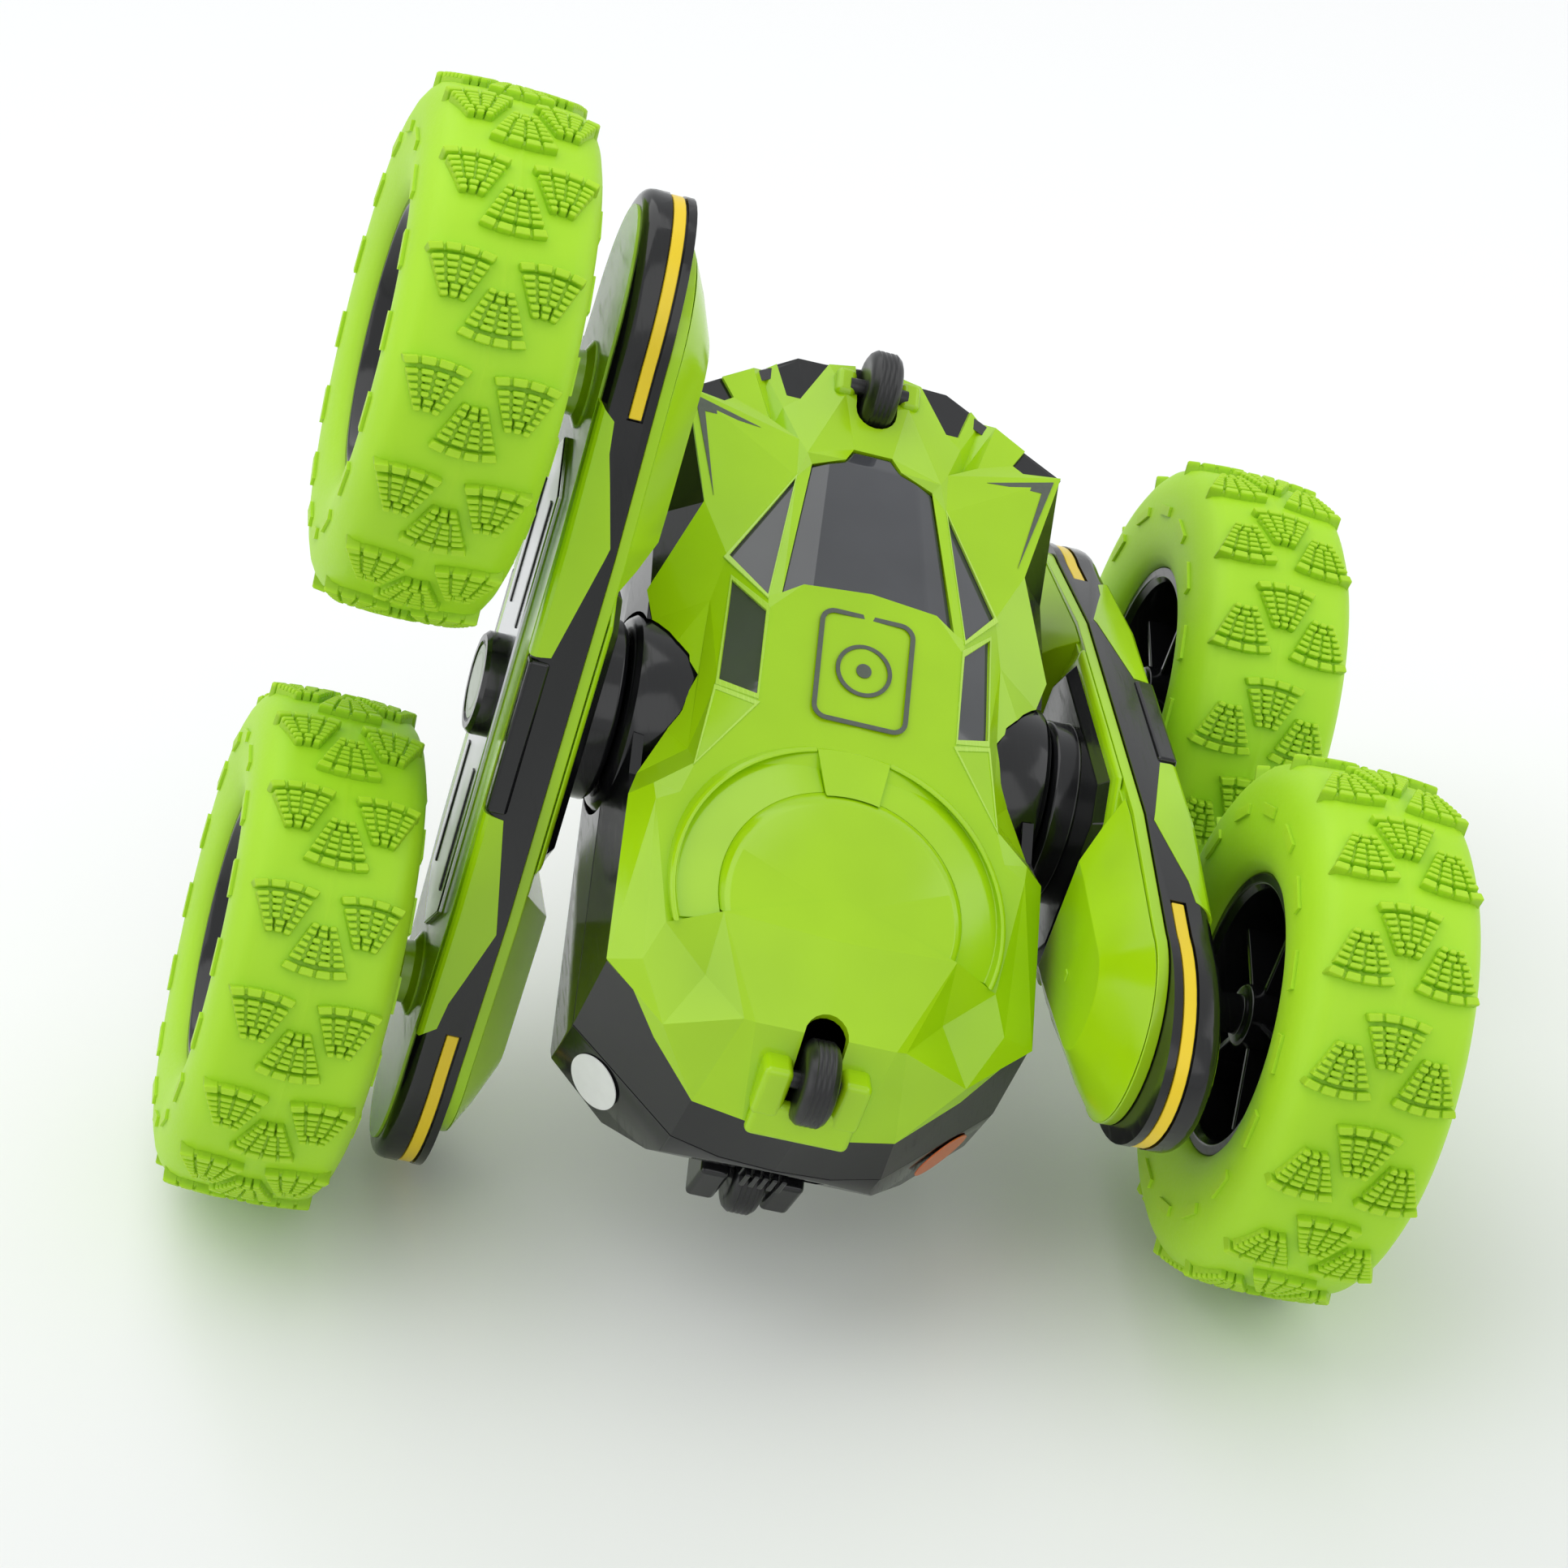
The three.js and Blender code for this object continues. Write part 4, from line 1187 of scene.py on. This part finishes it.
# Each fan spreads by FAN radians to each side of its middle line; its rows are (radius, length, pillows).
FAN = 0.447
FAN_R = 11.2
BLOCKS = 15
TREAD_R = 36.4
FAN_ROWS = [(10.57, 1.25, 4)] + [(9.1 - 0.958 * i, 0.8, 4 if i < 4 else 3) for i in range(6)]
SIDE_ROW_X = 6.06


def crown(x):
    """The carcass radius at x from the wheel's middle."""
    return 35.8 - 0.006 * x * x


def tread_block(row_x, way):
    """One fan of tread pillows, its wide edge at angle 0, bent round the carcass."""
    bm = bmesh.new()
    for radius, length, count in FAN_ROWS:
        for k in range(count):
            angle = FAN * ((2 * k + 1) / count - 1)
            lump(bm, (2 * FAN / count - 0.16 / radius, length, 2.85), (angle, radius, -0.175), taper=0.9)
    for radius, length in ((10.57, 1.1), (6.6, 5.6)):
        for k in range(3):
            lump(bm, (2 * FAN / 3 - 0.01, length, 2.3), (2 * FAN / 3 * (k - 1), radius, -0.45), taper=0.94)
    for vert in bm.verts:
        angle, radius, height = vert.co
        x = row_x + radius * math.sin(angle)
        along = FAN_R - radius * (1 - 0.6 * (1 - math.cos(angle)))
        turn_to = way * along / TREAD_R
        out = crown(x) + height
        vert.co = (x, out * math.cos(turn_to), out * math.sin(turn_to))
    block = bpy.data.meshes.new("block")
    bm.to_mesh(block)
    bm.free()
    return block


shoulder = [(8.5, 35.37), (9.9, 34.9), (10.8, 34), (11.6, 32.7), (12.2, 31), (12.45, 28)]
shoulder += [(12.3, 25.5), (12, 23.5), (11.4, 21.5), (10.6, 20.2), (9.6, 19.7)]
crown_line = [(x, crown(x)) for x in (-7, -5.5, -4, -2.5, -1, -0.3)] + [(0, 35.87)]
crown_line += [(-x, r) for x, r in reversed(crown_line[:-1])]
TYRE = [(-x, r) for x, r in reversed(shoulder)] + crown_line + shoulder
RIM = [(-10, 18.3), (-10, 19.7), (-9.3, 20.3), (9.3, 20.3), (10, 19.7), (10, 18.3), (9.0, 17.7)]
RIM += [(6.0, 17.2), (4.6, 15.6), (4.6, 4.0), (3.0, 4.0), (3.0, 14.6), (1.0, 16.4), (-9, 17.6)]
SLEEVE = [(-15.2, 1.6), (-15.2, 2.6), (-9.5, 2.8), (-9.4, 4.0), (-9.0, 4.4), (7.4, 4.4)]
SLEEVE += [(8.0, 3.8), (8.0, 1.6)]
DASHES = 16
DASH = (0.9, 1.5, 5.2)
SPOKES = 5
SPOKE = (2.6, 13.5, 3.2)
SPOKE_RIB = (11.0, 12.6, 1.0)
# How far each wheel has turned, in radians.
PHASES = {"left_front": 0.475, "left_rear": 0.488, "right_rear": 1.589, "right_front": 1.597}
for wheel_name, phase in PHASES.items():
    side = wheel_name.split("_")[0]
    sign = 1 if side == "right" else -1
    low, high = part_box(wheel_name + "_tyre")
    along = (arm_frames[side].to_3x3() @ Vector((0, 1, 0))).normalized()
    WHEEL = axes((low + high) / 2, axle * sign, along)
    body = wheel_name + "_wheel"

    bm = bmesh.new()
    turned(bm, TYRE, 120)
    for face_side in (1, -1):
        for dash in range(DASHES):
            made = lump(bm, DASH, (face_side * 12.4, 28.2, 0))
            spin = Matrix.Rotation(math.tau * dash / DASHES + phase, 3, "X")
            bmesh.ops.rotate(bm, matrix=spin, verts=made)
    carcass = settle(bm, wheel_name + "_carcass", WHEEL, soft_vinyl, crease=35)
    fix(carcass, body, "lime_vinyl", wheel_name + "_tyre")

    way = -sign
    rows = [(SIDE_ROW_X, way, phase), (-SIDE_ROW_X, way, phase), (0, -way, phase - 0.08 * way)]
    bm = bmesh.new()
    for row_x, row_way, start in rows:
        block = tread_block(row_x, row_way)
        for k in range(BLOCKS):
            count = len(bm.verts)
            bm.from_mesh(block)
            bm.verts.ensure_lookup_table()
            spin = Matrix.Rotation(start + k * math.tau / BLOCKS, 3, "X")
            bmesh.ops.rotate(bm, matrix=spin, verts=bm.verts[count:])
        bpy.data.meshes.remove(block)
    tread = settle(bm, wheel_name + "_tread", WHEEL, soft_vinyl, crease=70)
    round_over(tread, 0.2, 1, 30)
    fix(tread, body, "lime_vinyl")

    bm = bmesh.new()
    turned(bm, RIM, 96)
    for spoke in range(SPOKES):
        made = lump(bm, SPOKE, (5.0, 9.8, 0)) + lump(bm, SPOKE_RIB, (-1.8, 9.4, 0))
        spin = Matrix.Rotation(math.tau * spoke / SPOKES + phase, 3, "X")
        bmesh.ops.rotate(bm, matrix=spin, verts=made)
    rim = settle(bm, wheel_name + "_rim_moulding", WHEEL, black_abs)
    round_over(rim, 0.25, 2, 35)
    fix(rim, body, "black_abs", wheel_name + "_rim")

    bm = bmesh.new()
    turned(bm, SLEEVE, 40)
    sleeve = settle(bm, wheel_name + "_hub_sleeve", WHEEL, black_abs)
    round_over(sleeve, 0.2, 2, 30)
    fix(sleeve, body, "black_abs")

# ---- Inside ----
# The parts behind the mouldings: battery pack, circuit board, aerial, power switch, motors and gears.
# They are bought-in parts, clipped or screwed into the tub and the arms.


def refinish(finish, *nodes):
    """Gives CAD nodes that have no piece of their own a finish."""
    for node in nodes:
        for slot in frame["nodes"][node].material_slots:
            slot.material = finish


# Heat-shrunk PVC sleeve: shiny, with the long ripples that shrinking leaves.
shrink_pvc = mottled("shrunk PVC sleeve", ("#2C5FA6", "#3A70B8"), 7, (0.2, 0.4), 0.2, IOR=1.53)
refinish(shrink_pvc, "battery")
# Solder mask over copper on glass fibre: semi-gloss, paler where copper lies under it.
solder_mask = mottled("solder mask", ("#155C33", "#2B7A48"), 1.6, (0.25, 0.4), 0.03, IOR=1.55)
refinish(solder_mask, "circuit_board")
# Drawn brass wire with a light tarnish.
brass_wire = mottled("drawn brass", ("#B8994A", "#D0B368"), 1.2, (0.22, 0.4), 0.01, Metallic=1.0)
refinish(brass_wire, "receiver_antenna")
# Stamped steel with bright zinc plating: softly cloudy.
zinc_plate = mottled("zinc-plated steel", ("#B4B7B9", "#CACCCD"), 3, (0.25, 0.42), 0.02, Metallic=1.0)
refinish(zinc_plate, "switch_body", "left_motor", "right_motor")
# Acetal, moulded white: waxy, lets a little light in.
ACETAL = ("#E4E1D6", "#EFEDE4")
acetal = mottled("white acetal", ACETAL, 4, (0.35, 0.5), 0.02, IOR=1.48, Subsurface_Weight=0.15)
refinish(acetal, *[node for node in frame["nodes"] if node.endswith(("_pinion", "_idler"))])
# Ground steel axle with its gear moulded on: bright, with fine grinding marks.
ground_steel = mottled("ground steel", ("#B9BBBD", "#D2D3D4"), 0.8, (0.18, 0.34), 0.01, Metallic=1.0)
refinish(ground_steel, *[node for node in frame["nodes"] if node.endswith("_shaft")])
